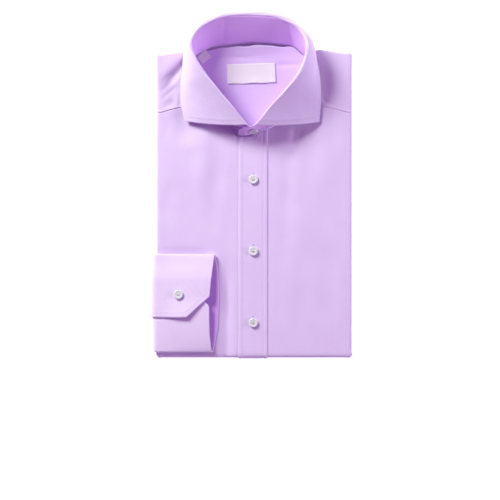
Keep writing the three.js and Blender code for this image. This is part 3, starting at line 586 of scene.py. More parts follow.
def tube(path, radius, sides=8, closed=False):
    """Points and faces of a tube round a path that lies flat in its own plane, with a radius a point."""
    count = len(path)
    radius = np.broadcast_to(radius, count)
    if closed:
        tangent = np.roll(path, -1, axis=0) - np.roll(path, 1, axis=0)
    else:
        tangent = np.gradient(path, axis=0)
    tangent /= np.linalg.norm(tangent, axis=1)[:, None]
    up = np.array([0.0, 0.0, 1.0])
    side = np.cross(tangent, up)
    side /= np.maximum(np.linalg.norm(side, axis=1), 1e-9)[:, None]
    lift = np.cross(side, tangent)
    turn = 2 * math.pi * np.arange(sides) / sides
    ring = side[:, None] * np.cos(turn)[:, None] + lift[:, None] * np.sin(turn)[:, None]
    points = (path[:, None] + ring * radius[:, None, None]).reshape(-1, 3)
    faces = []
    for k in range(count if closed else count - 1):
        for s in range(sides):
            a, b = k * sides + s, k * sides + (s + 1) % sides
            c = (k + 1) % count * sides
            faces.append([a, b, c + (s + 1) % sides, c + s])
    if not closed:
        faces.append(list(range(sides))[::-1])
        faces.append([(count - 1) * sides + s for s in range(sides)])
    return points, faces


def lathe(profile, segments):
    """Points and faces of a turned solid: its profile, radius and height pairs, has both ends on the axis."""
    rings = profile[1:-1]
    turn = 2 * math.pi * np.arange(segments) / segments
    points = [[0, 0, profile[0][1]]]
    for radius, height in rings:
        points += [[radius * math.cos(t), radius * math.sin(t), height] for t in turn]
    points.append([0, 0, profile[-1][1]])
    last = len(points) - 1
    faces = []
    for s in range(segments):
        nxt = (s + 1) % segments
        faces.append([0, 1 + nxt, 1 + s])
        for r in range(len(rings) - 1):
            a, b = 1 + r * segments + s, 1 + r * segments + nxt
            faces.append([a, b, b + segments, a + segments])
        end = 1 + (len(rings) - 1) * segments
        faces.append([end + s, end + nxt, last])
    return np.array(points, float), faces


# A button's section: radius and height from its foot.
BUTTON_PROFILE = [
    (0, 0),
    (3.6, 0.0),
    (4.7, 0.25),
    (5.25, 0.7),
    (5.5, 1.25),
    (5.4, 1.75),
    (5.05, 2.12),
    (4.6, 2.25),
    (4.15, 2.2),
    (3.75, 2.08),
    (3.3, 1.96),
    (2.4, 1.9),
    (1.2, 1.88),
    (0, 1.88),
]
HOLE_AT = 1.05
HOLE_RADIUS = 0.62


def add_button(name, node_name, foot, normal, up, turned=0.0):
    """A four-hole button sewn with crossed thread, in place of a CAD button. foot is on the cloth."""
    side, ahead, normal = axes_for(normal, up)
    c, s = math.cos(turned), math.sin(turned)
    axes = (side * c + ahead * s, ahead * c - side * s, normal)
    points, faces = lathe(BUTTON_PROFILE, 64)
    button = make_object(name, placed(points + [0, 0, 0.35], foot, axes), faces, pearl)
    cutters = []
    for x in (-HOLE_AT, HOLE_AT):
        for y in (-HOLE_AT, HOLE_AT):
            profile = [(0, -1), (HOLE_RADIUS, -1), (HOLE_RADIUS, 4), (0, 4)]
            hole, hole_faces = lathe(profile, 20)
            cutters.append(
                make_object(name + "_cutter", placed(hole + [x, y, 0.35], foot, axes), hole_faces, pearl)
            )
    for cutter in cutters:
        cut = button.modifiers.new("holes", "BOOLEAN")
        cut.object = cutter
        cut.operation = "DIFFERENCE"
        cut.solver = "EXACT"
    shaped = bpy.data.meshes.new_from_object(button.evaluated_get(bpy.context.evaluated_depsgraph_get()))
    button.modifiers.clear()
    button.data = shaped
    shaped.shade_smooth()
    shaped.set_sharp_from_angle(angle=math.radians(40))
    for cutter in cutters:
        bpy.data.objects.remove(cutter)
    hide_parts(node_name)
    rows = []
    for way in (1, -1):
        for off in (-0.2, 0.2):
            run = np.linspace(-1, 1, 9)
            path = np.stack(
                [run * HOLE_AT - off * way, run * HOLE_AT * way + off, 2.25 + 0.2 * (1 - run**4)], axis=1
            )
            path = np.concatenate([[path[0] - [0, 0, 0.9]], path, [path[-1] - [0, 0, 0.9]]])
            if way < 0:
                path[:, 2] += 0.16
            rows.append(tube(path, 0.2))
    shank, shank_faces = lathe([(0, -0.2), (1.5, -0.2), (1.25, 0.2), (1.35, 0.6), (0, 0.6)], 16)
    rows.append((shank, shank_faces))
    all_points, all_faces, count = [], [], 0
    for row_points, row_faces in rows:
        all_points.append(row_points)
        all_faces += [[a + count for a in face] for face in row_faces]
        count += len(row_points)
    thread_points = placed(np.concatenate(all_points), foot, axes)
    make_object(name + "_thread", thread_points, all_faces, button_thread)
    return button


def add_buttonhole(name, centre, normal, along, long=14.0):
    """A worked buttonhole: a racetrack of close stitches round a slit."""
    side, ahead, normal = axes_for(normal, along)
    half = long / 2 - 1.0
    turn = np.linspace(-math.pi / 2, math.pi / 2, 12)
    bend = np.stack([np.cos(turn) * 0.85, np.sin(turn) * 0.85], axis=1)
    straight = np.linspace(-half, half, 46)[:, None]
    one = np.concatenate([straight, np.full_like(straight, -0.85)], axis=1)
    end = np.stack([half + bend[:, 0], bend[:, 1]], axis=1)
    path = np.concatenate([one, end[1:-1], one[::-1] * [1, -1], -end[1:-1]])
    path = np.stack([path[:, 1], path[:, 0], np.full(len(path), 0.12)], axis=1)
    ribs = 0.42 + 0.07 * (np.arange(len(path)) % 2)
    points, faces = tube(path, ribs, 8, closed=True)
    axes = (side, ahead, normal)
    hole = make_object(name, placed(points * [1, 1, 0.75], centre, axes), faces, thread)
    return hole


# The collar's curves and the neck seam.
stand_rows = COLLAR + STAND_TAB
STAND_SHARE = (len(COLLAR) - 1) / (len(stand_rows) - 1)


def fold_curve(share):
    return curve([row.fold for row in stand_rows], share)


def neck_curve(share):
    return curve([row.neck for row in stand_rows], share)


neck_line = neck_curve(np.linspace(0, STAND_SHARE, 121))
half_way = len(neck_line) // 2
left_side = neck_line[np.argmin(neck_line[:, 0])]
right_side = neck_line[np.argmax(neck_line[:, 0])]
back_neck = neck_line[neck_line[:, 1] > 360]
front_left = np.array([p for p in neck_line[:half_way] if p[1] <= left_side[1]])[::-1]
front_right = np.array([p for p in neck_line[half_way:] if p[1] <= right_side[1]])[::-1]


def shoulder_y(x):
    return np.interp(x, SHOULDER_X, SHOULDER_Y)


def yoke_seam_y(x):
    share = (HALF_WIDTH - np.abs(x)) / (HALF_WIDTH - YOKE_SEAM["neck_x"])
    return mix(YOKE_SEAM["side_y"], YOKE_SEAM["neck_y"], share) + YOKE_SEAM["bow"] * 4 * share * (1 - share)


def front_high(x):
    """Upper end of a front: the yoke seam, then the neck seam."""
    left = np.interp(x, front_left[:, 0], front_left[:, 1])
    order = np.argsort(front_right[:, 0])
    right = np.interp(x, front_right[order, 0], front_right[order, 1])
    neck = np.where(x < -4, left, right) - NECK_CLEAR * 1.3
    tab = np.interp(x, UNDER_STAND_TAB_X, UNDER_STAND_TAB_Y)
    seam = yoke_seam_y(x) - 0.45
    inner = np.minimum(neck, np.where(np.abs(x) > 34, seam, tab))
    return np.where(np.abs(x) > 62, seam, inner)


def corner_ways(start, end, count):
    share = (np.arange(count) + 1) / (count + 1)
    ways = mix(np.array(start, float), np.array(end, float), share[:, None])
    ways /= np.linalg.norm(ways, axis=1)[:, None]
    return ways * (1 + 0.22 * np.sin(math.pi * share))[:, None]


def lip_at(distance):
    return np.clip(distance - 1, CORNER_LIP, LIP)


def turn_corner(cloth, sides):
    """Turns a panel under along two sides and the corner between them, in anticlockwise order.

    Each side is a tuple of base points, way out, turn reaches, floors and lips.
    """
    first, second = sides
    corner = first[0][-1]
    share = (np.arange(CORNER_STEPS) + 1) / (CORNER_STEPS + 1)
    fan = (
        np.full(CORNER_STEPS, corner),
        corner_ways(first[1], second[1], CORNER_STEPS),
        mix(first[2][-1], second[2][0], share),
        mix(first[3][-1], second[3][0], share),
        np.full(CORNER_STEPS, CORNER_LIP),
    )
    parts = []
    for base, out, reach, floor, lip in (first, fan, second):
        out = np.broadcast_to(np.asarray(out, float), (len(base), 2))
        parts.append((base, out, reach, floor, lip))
    base, out, reach, floor, lip = (np.concatenate([part[k] for part in parts]) for k in range(5))
    cloth.turn_under(base, out, reach, floor, lip)


def along_side(cloth, base, sign, y_end):
    y = cloth.points[base][:, 1]
    reach = np.full(len(base), SIDE_TURN.reach)
    return base, (sign, 0), reach, side_floor(y), lip_at(np.abs(y - y_end))


def front_cloth(sign, centre_x):
    cloth = Cloth()
    side_x = sign * (HALF_WIDTH - SIDE_TURN.reach)
    x = np.linspace(min(side_x, centre_x), max(side_x, centre_x), 78)
    share = np.linspace(0, 1, 176)[:, None]
    y = mix(BOTTOM_TURN.reach, front_high(x), share)
    x = np.broadcast_to(x, y.shape)
    z = top_height(x, y)
    for fold in FRONT_FOLDS:
        z = z + fold_height(fold, x, y)
    z = z - SEAM_DIP * np.exp(-(((y - yoke_seam_y(x)) / SEAM_WIDE) ** 2))
    points = np.stack([x, y, z], axis=-1)
    index = cloth.grid(points, points[..., :2])
    bottom = index[0]
    side = index[:, 0 if sign < 0 else -1]
    inside = np.abs(cloth.points[bottom][:, 0] - side_x)
    low = (
        bottom,
        (0, -1),
        np.full(len(bottom), BOTTOM_TURN.reach),
        np.full(len(bottom), BOTTOM_TURN.floor),
        lip_at(inside),
    )
    if sign < 0:
        turn_corner(cloth, (along_side(cloth, side[::-1], sign, BOTTOM_TURN.reach), low))
    else:
        turn_corner(cloth, (low, along_side(cloth, side, sign, BOTTOM_TURN.reach)))
    return cloth


def placket_cloth():
    cloth = Cloth()
    x = np.linspace(*PLACKET, 44)
    y = mix(BOTTOM_TURN.reach, front_high(x) - 0.5, np.linspace(0, 1, 170)[:, None])
    x = np.broadcast_to(x, y.shape)
    points = np.stack([x, y, top_height(x, y)], axis=-1)
    base = cloth.grid(points, points[..., :2])[0]
    count = len(base)
    low = np.full(count, BOTTOM_TURN.reach), np.full(count, BOTTOM_TURN.floor), np.full(count, LIP)
    cloth.turn_under(base, np.broadcast_to([0.0, -1.0], (count, 2)), *low)
    inside = np.minimum(cloth.points[:, 0] - PLACKET[0], PLACKET[1] - cloth.points[:, 0])
    cloth.lift(0.55 + 0.55 * ease(inside, 0, 1.6) + pillow(inside, PLACKET_HEM, 0.12, 0.3))
    return cloth, inside


def flipped(side):
    """One side of a corner in the other direction."""
    return tuple(part[::-1] if isinstance(part, np.ndarray) else part for part in side)


def shoulder_cloth(sign):
    cloth = Cloth()
    side_x = sign * (HALF_WIDTH - SIDE_TURN.reach)
    neck = front_left if sign < 0 else front_right
    widest = left_side if sign < 0 else right_side
    order = np.argsort(neck[:, 1])
    v = np.linspace(0, 1, 84)[:, None]
    guess = mix(yoke_seam_y(YOKE_SEAM["neck_x"]), shoulder_y(widest[0]), v)
    neck_x = np.interp(np.minimum(guess, widest[1]), neck[order, 1], neck[order, 0]) + sign * NECK_CLEAR
    share = np.linspace(0, 1, 64)
    if sign > 0:
        share = 1 - share
    x = mix(side_x, neck_x, share)
    y = mix(yoke_seam_y(x) - 0.5, shoulder_y(x) - SHOULDER_TURN.reach, v)
    seam = np.exp(-((y - yoke_seam_y(x) + 0.5) / SEAM_WIDE) ** 2)
    points = np.stack([x, y, top_height(x, y) + SEAM_RIDGE * seam], axis=-1)
    index = cloth.grid(points, points[..., :2])
    side = index[:, 0 if sign < 0 else -1]
    top = index[-1]
    y_corner = cloth.points[side[-1]][1]
    inside = np.abs(cloth.points[top][:, 0] - side_x)
    count = len(top)
    shoulder = (
        top,
        (0, 1),
        np.full(count, SHOULDER_TURN.reach),
        np.full(count, SHOULDER_TURN.floor),
        lip_at(inside),
    )
    down_side = along_side(cloth, side, sign, y_corner)
    if sign < 0:
        turn_corner(cloth, (flipped(shoulder), flipped(down_side)))
    else:
        turn_corner(cloth, (down_side, flipped(shoulder)))
    return cloth


def back_sheet_height(x, y):
    """The back's inside: low waves, rising to the neck seam and to the right of the neck."""
    waves = 0.22 * np.sin(x / 17.0 + 0.6) + 0.2 * np.sin(y / 13.0 - x / 41.0)
    seam = (2.4 + 0.6 * np.sin(x / 11.0 + 1.0)) * np.exp(-(((y - 377) / 10) ** 2))
    corner = -0.9 * np.exp(-(((x + 66) / 13) ** 2) - ((y - 360) / 16) ** 2)
    dents = -0.9 * np.exp(-(((x - 40) / 16) ** 2) - ((y - 352) / 3.2) ** 2)
    dents = dents - 0.7 * np.exp(-(((x + 22) / 24) ** 2) - ((y - 361) / 3.0) ** 2)
    return BACK_SHEET["z"] + waves + seam + corner + dents


def back_sheet_cloth():
    cloth = Cloth()
    x = np.linspace(BACK_SHEET["left"], BACK_SHEET["right"], 150)
    low, high = sorted((back_neck[0, 0], back_neck[-1, 0]))
    order = np.argsort(back_neck[:, 0])
    neck_y = np.interp(x, back_neck[order, 0], back_neck[order, 1]) - NECK_CLEAR - 1.1
    in_neck = (x > low + 3) & (x < high - 3)
    wavy = 0.6 * np.sin(x / 6.3) + 0.35 * np.sin(x / 3.4 + 1) - SEAM_GAP * np.exp(-(((x + 6) / 42) ** 4))
    top = np.where(in_neck, neck_y + wavy, BACK_SHEET["side_high"])
    y = mix(BACK_SHEET["low"], top, np.linspace(0, 1, 90)[:, None])
    x = np.broadcast_to(x, y.shape)
    points = np.stack([x, y, back_sheet_height(x, y)], axis=-1)
    cloth.grid(points, points[..., :2])
    return cloth


def unit(v):
    return v / np.maximum(np.linalg.norm(v, axis=-1), 1e-12)[..., None]


def collar_sections(t):
    """For shares t along the leaf: neck, edge, half the roll's angle, its points, and the leaf's way out."""
    fold = fold_curve(STAND_SHARE * t)
    neck = neck_curve(STAND_SHARE * t)
    edge = curve([row.edge for row in COLLAR], t)
    up = unit(fold - neck)
    down = unit(edge - fold)
    apex = unit(up - down)
    out = unit(up + down)
    half = np.arccos(np.sum(up * out, axis=1))
    roll = (ROLL + BACK_ROLL * ease(fold[:, 1], 394, 408))[:, None]
    centre = fold - apex * roll

    def on_roll(angle):
        angle = np.asarray(angle)[:, None]
        return centre + apex * roll * np.cos(angle) + out * roll * np.sin(angle)

    leaf_out = unit(apex - down * np.sum(down * apex, axis=1)[:, None])
    return neck, edge, half, on_roll, leaf_out


AROUND = 300
ROLL_STEPS = 10
LEAF_STEPS = 46


def leaf_cloth():
    """The leaf, a row for each section round the neck and a column for each step from fold to rim."""
    cloth = Cloth()
    t = np.linspace(0, 1, AROUND)
    _, edge, half, on_roll, out = collar_sections(t)
    columns = [on_roll(mix(-half, half, k / ROLL_STEPS)) for k in range(ROLL_STEPS + 1)]
    start = on_roll(half)
    at_end = 1 - ease(np.minimum(t, 1 - t), 0, 0.1)
    for k in range(1, LEAF_STEPS + 1):
        s = k / LEAF_STEPS
        bell = 4 * s * (1 - s)
        point = mix(start, edge, s) + out * LEAF_SWELL * bell
        point[:, 1] -= LEAF_BOW * bell * at_end
        columns.append(point)
    points = np.stack(columns, axis=1)
    index = cloth.grid(points)
    rims = [dense(points[:, -1]), dense(points[0, ROLL_STEPS:]), dense(points[-1, ROLL_STEPS:])]
    hem = nearest(cloth.points, np.concatenate(rims))
    cloth.lift(pillow(hem, LEAF_HEM, 0.12, 0.18))
    return cloth, index, hem


def inset_line(points, normals, distance):
    """Points and normals at a distance along the first axis from its first row."""
    at = lengths(points)
    found = []
    for column in range(points.shape[1]):
        values = np.concatenate([points[:, column], normals[:, column]], axis=1)
        found.append([np.interp(distance, at[:, column], values[:, k]) for k in range(6)])
    found = np.array(found)
    return found[:, :3], found[:, 3:]


# Where the stand bends or creases behind the neck: x at its foot, lean with height, width and depth.
Bend = namedtuple("Bend", "x lean wide deep sharp")
BENDS = [
    Bend(47, -0.30, 9, 2.0, True),
    Bend(-36, 0.08, 6, 1.3, True),
    Bend(10, -0.1, 12, -0.35, False),
]


def stand_relief(points, share):
    """Moves the back of the stand outward along its bends and creases."""
    x, y, z = np.moveaxis(points, -1, 0)
    depth = np.zeros_like(x)
    for bend in BENDS:
        off = np.abs(x - bend.x - bend.lean * (z - 11)) / bend.wide
        depth = depth + bend.deep * np.exp(-off if bend.sharp else -(off**2))
    depth = depth * (4 * share * (1 - share)) ** 0.4 * ease(y, 352, 366)
    away = np.stack([x, y - 335], axis=-1)
    away = away / np.linalg.norm(away, axis=-1)[..., None]
    return np.concatenate([away * depth[..., None], np.zeros_like(depth)[..., None]], axis=-1)


def stand_cloth():
    """The stand, a row for each section and a column for each step from the neck seam up."""
    cloth = Cloth()
    t = np.linspace(0, 1, 260)
    neck, _, half, on_roll, _ = collar_sections(t)
    fold = fold_curve(STAND_SHARE * t)
    up = unit(fold - neck)
    top = on_roll(-half) - up * 0.5
    more = np.linspace(STAND_SHARE, 1, 34)[1:]
    tab_neck = neck_curve(more)
    tab_top = fold_curve(more)
    tab_top = tab_top - unit(tab_top - tab_neck)
    s = (more - STAND_SHARE) / (1 - STAND_SHARE)
    round_off = np.sqrt(np.clip(1 - np.clip((s - 0.45) / 0.55, 0, 1) ** 2.4, 0.0, 1))
    tab_top = mix(tab_neck, tab_top, (0.35 + 0.65 * round_off)[:, None])
    neck = np.concatenate([neck, tab_neck])
    top = np.concatenate([top, tab_top])
    share = np.linspace(0, 1, 20)[None, :, None]
    points = mix(neck[:, None], top[:, None], share)
    points = points + stand_relief(points, share[..., 0])
    index = cloth.grid(points)
    return cloth, index


def on_body(x, y, n):
    """A point over the front at a height n, or round the pack's right side where x is past the turn."""
    base = HALF_WIDTH - SIDE_TURN.reach
    flat_z = top_height(x, y) + n
    z = top_height(np.full_like(x, -base), y)
    drop = (z - side_floor(y)) / 2
    angle = np.maximum(0, (-base - x) / SIDE_TURN.reach)
    turned_x = -base - (SIDE_TURN.reach + n) * np.sin(angle) ** SQUARE
    turned_z = z - drop + (drop + n) * np.sign(np.cos(angle)) * np.abs(np.cos(angle)) ** SQUARE
    flat = x >= -base
    return np.stack([np.where(flat, x, turned_x), y, np.where(flat, flat_z, turned_z)], axis=-1)


def unrolled(step):
    return SIDE_TURN.reach - HALF_WIDTH - SIDE_TURN.reach * TURN_END * step / 5


def cuff_under(y, hollow):
    off = (y - (CUFF["low"] + CUFF["high"]) / 2) / ((CUFF["high"] - CUFF["low"]) / 2)
    return CUFF_BACK + CUFF_WALL + 1 + hollow * np.sqrt(np.clip(1 - off**2, 0, 1))


def cuff_flap(y, hollow):
    over = (CUFF_WALL + 0.4) * (1 - ease(y, CUFF["under_end"] + 2, CUFF["high"] - 8))
    corner = FLAP_CORNER_RISE * (1 - ease(y, CUFF["overlap_end"], 74)) * (hollow / CUFF_OPEN[0]) ** 2
    return cuff_under(y, hollow) + over + corner


def cuff_hollow(share):
    return mix(CUFF_OPEN[0], CUFF_OPEN[1], ease(share, 0, 1))


def cuff_stations():
    """Rows of y, a height function and the mouth's x, from the under end round to the flap's end."""
    low, high, inset = CUFF["low"], CUFF["high"], 1.6
    rows = []

    def back(y, hollow):
        return np.full_like(hollow, CUFF_BACK)

    def layer(mouth, start, end, steps, at):
        for y in np.linspace(start, end, steps):

            def place(hollow, y=y):
                return y, at(y, hollow)

            rows.append((place, np.interp(y, *mouth)))

    def fold(y, way, at, mouth, shares):
        for s in shares:
            angle = math.pi * s

            def place(hollow, angle=angle):
                half = (at(y - way * 0.1, hollow) - CUFF_BACK) / 2
                return y + way * (inset - 1) * math.sin(angle), CUFF_BACK + half - half * math.cos(angle)

            rows.append((place, np.interp(y, *mouth)))

    steps = np.arange(1, 8) / 8
    layer(MOUTH_UNDER, CUFF["under_end"], low + inset, LAYER_STEPS, cuff_under)
    fold(low + inset, -1, cuff_under, MOUTH_BACK, steps[::-1])
    layer(MOUTH_BACK, low + inset, high - inset, 40, back)
    fold(high - inset, 1, cuff_flap, MOUTH_FLAP, steps)
    layer(MOUTH_FLAP, high - inset, CUFF["overlap_end"], LAYER_STEPS, cuff_flap)
    return rows


def cuff_cloth_sheet():
    cloth = Cloth()
    flat, turn = 52, 14
    stations = cuff_stations()
    columns = []
    for place, mouth in stations:
        flat_x = np.linspace(mouth, unrolled(0), flat)
        turn_x = unrolled(np.arange(1, turn + 1) * CUFF_TURN_STEPS / turn)
        flat_share = np.linspace(0, CUFF_FLAT_SHARE, flat)
        turn_share = np.linspace(CUFF_FLAT_SHARE, 1, turn + 1)[1:]
        share = np.concatenate([flat_share, turn_share])
        y, n = place(cuff_hollow(share))
        x = np.concatenate([flat_x, turn_x])
        columns.append(on_body(x, np.broadcast_to(y, x.shape), n))
    points = np.stack(columns, axis=1)
    index = cloth.grid(points)
    rims = np.concatenate([dense(points[0]), dense(points[:, -1])])
    hem = nearest(cloth.points, rims)
    cloth.lift(pillow(hem, CUFF_HEM, 0.1, 0.14))
    return cloth, index, hem


def sleeve_cloth():
    cloth = Cloth()
    y = np.linspace(CUFF["low"] + 17, CUFF["high"] - 3, 60)
    out = 2.8
    steps = np.linspace(3, 5, 16)
    rows = []
    for k, step in enumerate(steps):
        x = np.full_like(y, unrolled(step) - (0 if k else 1.7))
        ripple = 0.35 * np.sin(y / 4.6) * ease(5 - step, 0, 2)
        rows.append(on_body(x, y, out + ripple))
    rows.append(np.stack([np.full_like(y, -105.5), y, side_floor(y) - out], axis=-1))
    cloth.grid(np.stack(rows))
    return cloth


# The hidden layers: folded slabs of cloth with rounded edges, a row for each.
Slab = namedtuple("Slab", "low high side shoulder start")
LOWER_SLABS = [
    Slab(0.0, 1.1, 2.4, 3.2, 0.0),
    Slab(1.2, 2.2, 1.6, 2.3, 1.7),
    Slab(2.3, 3.1, 2.7, 3.5, 3.1),
    Slab(3.2, 4.1, 1.9, 1.3, 4.4),
]
UPPER_SLABS = [
    Slab(4.5, 5.6, 0.0, 1.5, 0.8),
    Slab(5.75, 6.8, 0.0, 2.8, 2.2),
    Slab(6.95, 8.0, 0.0, 1.7, 3.6),
    Slab(8.15, 9.3, 0.0, 1.9, 5.0),
]
Corner = namedtuple("Corner", "x y edge")
LOWER_OUTLINE = [
    Corner(-117.5, 0, "side"),
    Corner(117.5, 0, "side"),
    Corner(117.5, 364.6, "shoulder"),
    Corner(76, 370, "shoulder"),
    Corner(46, 381, "shoulder"),
    Corner(-52, 381, "shoulder"),
    Corner(-84, 368.8, "shoulder"),
    Corner(-117.5, 362.5, "side"),
]
UPPER_OUTLINE = [
    Corner(-98, 16, "side"),
    Corner(98, 16, "side"),
    Corner(98, 350, "side"),
    Corner(114.5, 358, "side"),
    Corner(115.5, 364.8, "shoulder"),
    Corner(76, 370, "shoulder"),
    Corner(60, 366, "shoulder"),
    Corner(-66, 366, "shoulder"),
    Corner(-84, 368.8, "shoulder"),
    Corner(-115.5, 362.9, "side"),
    Corner(-114.5, 356, "side"),
    Corner(-98, 348, "side"),
]


def inset_outline(outline, insets, radius=4.5):
    """An outline with each side moved in by its own distance, its corners rounded, points 3 mm apart."""
    count = len(outline)
    xy = np.array([(c.x, c.y) for c in outline], float)
    ways = unit(np.roll(xy, -1, axis=0) - xy)
    inset = np.array([insets[c.edge] for c in outline])[:, None]
    start = xy + np.stack([-ways[:, 1], ways[:, 0]], axis=1) * inset
    path = []
    for k in range(count):
        before, way = ways[k - 1], ways[k]
        gap = start[k] - start[k - 1]
        s = (gap[0] * way[1] - gap[1] * way[0]) / (before[0] * way[1] - before[1] * way[0])
        corner = start[k - 1] + before * s
        t = np.linspace(0, 1, 8)[:, None]
        a, b = corner - before * radius, corner + way * radius
        path.append((1 - t) ** 2 * a + 2 * t * (1 - t) * corner + t**2 * b)
    path = np.concatenate(path + [path[0][:1]])
    return dense(path, 3.0)[:-1]


def slab_parts(slab, outline):
    """Rings from the lower face round the folded edge to the upper face."""
    half = (slab.high - slab.low) / 2
    edge = inset_outline(outline, {"side": slab.side, "shoulder": slab.shoulder})
    tangent = unit(np.roll(edge, -1, axis=0) - np.roll(edge, 1, axis=0))
    inward = np.stack([-tangent[:, 1], tangent[:, 0]], axis=1)
    run = lengths(np.concatenate([edge, edge[:1]]))[:-1]
    wobble = 0.3 * np.sin(run / 31 + slab.start) + 0.15 * np.sin(run / 11 + 2 * slab.start) + 0.3
    rings = []
    for angle in np.linspace(-90, 90, 9):
        a = math.radians(angle)
        inset = wobble + half * 1.6 * (1 - math.cos(a))
        z = (slab.low + slab.high) / 2 + half * math.sin(a)
        rings.append(np.column_stack([edge + inward * inset[:, None], np.full(len(edge), z)]))
    return np.stack(rings)


def layers_object():
    points, faces, cuts, count = [], [], [], 0
    for slabs, outline in ((LOWER_SLABS, LOWER_OUTLINE), (UPPER_SLABS, UPPER_OUTLINE)):
        for slab in slabs:
            rings = slab_parts(slab, outline)
            rows, columns = rings.shape[:2]
            index = count + np.arange(rows * columns).reshape(rows, columns)
            for r in range(rows - 1):
                for c in range(columns):
                    d = (c + 1) % columns
                    quad = [index[r, c], index[r, d], index[r + 1, d], index[r + 1, c]]
                    faces.append([int(v) for v in quad])
            faces.append(index[0][::-1].tolist())
            faces.append(index[-1].tolist())
            points.append(rings.reshape(-1, 3))
            cuts.append(np.stack([rings[..., 0], rings[..., 1] + rings[..., 2]], axis=-1).reshape(-1, 2))
            count += rows * columns
    points = np.concatenate(points)
    return make_object("hidden_layers", points, faces, body_cloth, np.concatenate(cuts), np.full(count, 99.0))


def trim_cloth(x, y, width, height, tilt, free_edge):
    """A flat piece of trim on the back sheet; free_edge lifts its lower edge a little."""
    cloth = Cloth()
    u = np.linspace(-0.5, 0.5, 60)[None]
    v = np.linspace(-0.5, 0.5, 26)[:, None]
    u, v = np.broadcast_arrays(u, v)
    wavy = free_edge * 0.3 * np.sin(u * 15 + 1.0) * ease(-v, 0.1, 0.5)
    lx, ly = u * width, v * height + wavy
    c, s = math.cos(math.radians(tilt)), math.sin(math.radians(tilt))
    px, py = x + lx * c - ly * s, y + lx * s + ly * c
    lift = 0.55 + free_edge * (0.6 + 0.25 * np.sin(u * 9 + 0.5)) * ease(-v, 0.05, 0.5)
    lift = lift + free_edge * 0.3 * ease(u, 0.3, 0.5)
    points = np.stack([px, py, back_sheet_height(px, py) + lift], axis=-1)
    index = cloth.grid(points, np.stack([lx, ly], axis=-1))
    return cloth, index


# The body.
right_front = front_cloth(-1, CENTRE - 0.15)
left_front = front_cloth(1, CENTRE + 0.15)
for name, cloth in (("right_front", right_front), ("left_front", left_front)):
    piece = cloth_object(name + "_cloth", cloth, SINGLE_WALL, body_cloth)
    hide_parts(name)

placket, placket_inside = placket_cloth()
placket_piece = cloth_object("placket_cloth", placket, 0.45, body_cloth, placket_inside)
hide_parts("front_placket")

shoulder_right = shoulder_cloth(-1)
shoulder_left = shoulder_cloth(1)
back_sheet = back_sheet_cloth()
for name, cloth in (("yoke_right_shoulder", shoulder_right), ("yoke_left_shoulder", shoulder_left)):
    piece = cloth_object(name, cloth, SINGLE_WALL, body_cloth)
    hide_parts("yoke")
# The back's inside wears the painted-shade cloth, darker for the shade in the neck.
yoke_back = cloth_object("yoke_inside", back_sheet, SINGLE_WALL, inside_painted_shade_cloth)
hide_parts("yoke")

layers = layers_object()
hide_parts("folded_layers")

# The collar.
leaf, leaf_index, leaf_hem = leaf_cloth()
leaf_piece = lined_object("collar_leaf_cloth", leaf, collar_painted_light_cloth, leaf_hem)
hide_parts("collar_leaf")

stand, stand_index = stand_cloth()
# The stand wears the painted-shade cloth, darker than the rest for the shade inside the collar.
stand_piece = lined_object("collar_stand_cloth", stand, stand_painted_shade_cloth)
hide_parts("collar_stand")

# The cuff and the sleeve.
cuff, cuff_index, cuff_hem = cuff_cloth_sheet()
# Painted shade: the side of the cuff's wall that faces its hollow gets the deep violet cloth, and the outside
# gets the cuff's paler painted-light cloth.
cuff_piece = lined_object("right_cuff_cloth", cuff, cuff_hollow_painted_shade_cloth, cuff_hem, cuff_painted_light_cloth)
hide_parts("right_cuff")

sleeve = cloth_object("right_sleeve_cloth", sleeve_cloth(), 2.2, body_cloth)
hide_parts("right_sleeve")

# Label and tab.
label, label_index = trim_cloth(-3.4, 341.5, 58, 23.4, 1.9, 1.0)
label_piece = cloth_object("neck_label_cloth", label, 0.35, label_cloth)
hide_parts("neck_label")
tab, tab_index = trim_cloth(-60.2, 361.4, 13, 10.6, 38, 0.0)
tab_piece = cloth_object("size_tab_cloth", tab, SINGLE_WALL, tab_cloth)
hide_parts("size_tab")


# Stitching.
def grid_of(cloth, index):
    return cloth.points[index], cloth.normals()[index]


def raised(line, height):
    return line[0] + line[1] * height, line[1]


leaf_points, leaf_normals = grid_of(leaf, leaf_index)
leaf_lines = []
body_columns = slice(ROLL_STEPS, None)
for points, normals in ((leaf_points, leaf_normals), (leaf_points[::-1], leaf_normals[::-1])):
    line, normal = inset_line(points[:, body_columns], normals[:, body_columns], LEAF_HEM)
    inner = lengths(line[::-1])[::-1] > LEAF_HEM
    leaf_lines.append(raised((line[inner], normal[inner]), LINED_WALL / 2))
line, normal = inset_line(
    leaf_points[:, ::-1].swapaxes(0, 1), leaf_normals[:, ::-1].swapaxes(0, 1), LEAF_HEM
)
run = lengths(line)
inner = (run > LEAF_HEM) & (run < run[-1] - LEAF_HEM)
leaf_lines.append(raised((line[inner], normal[inner]), LINED_WALL / 2))
add_stitches("stitching_collar_leaf", leaf_lines)

stand_points, stand_normals = grid_of(stand, stand_index)
line, normal = inset_line(stand_points.swapaxes(0, 1), stand_normals.swapaxes(0, 1), 1.7)
stand_lines = [(line + normal * way * LINED_WALL / 2, normal * way) for way in (-1, 1)]
add_stitches("stitching_collar_stand", stand_lines)

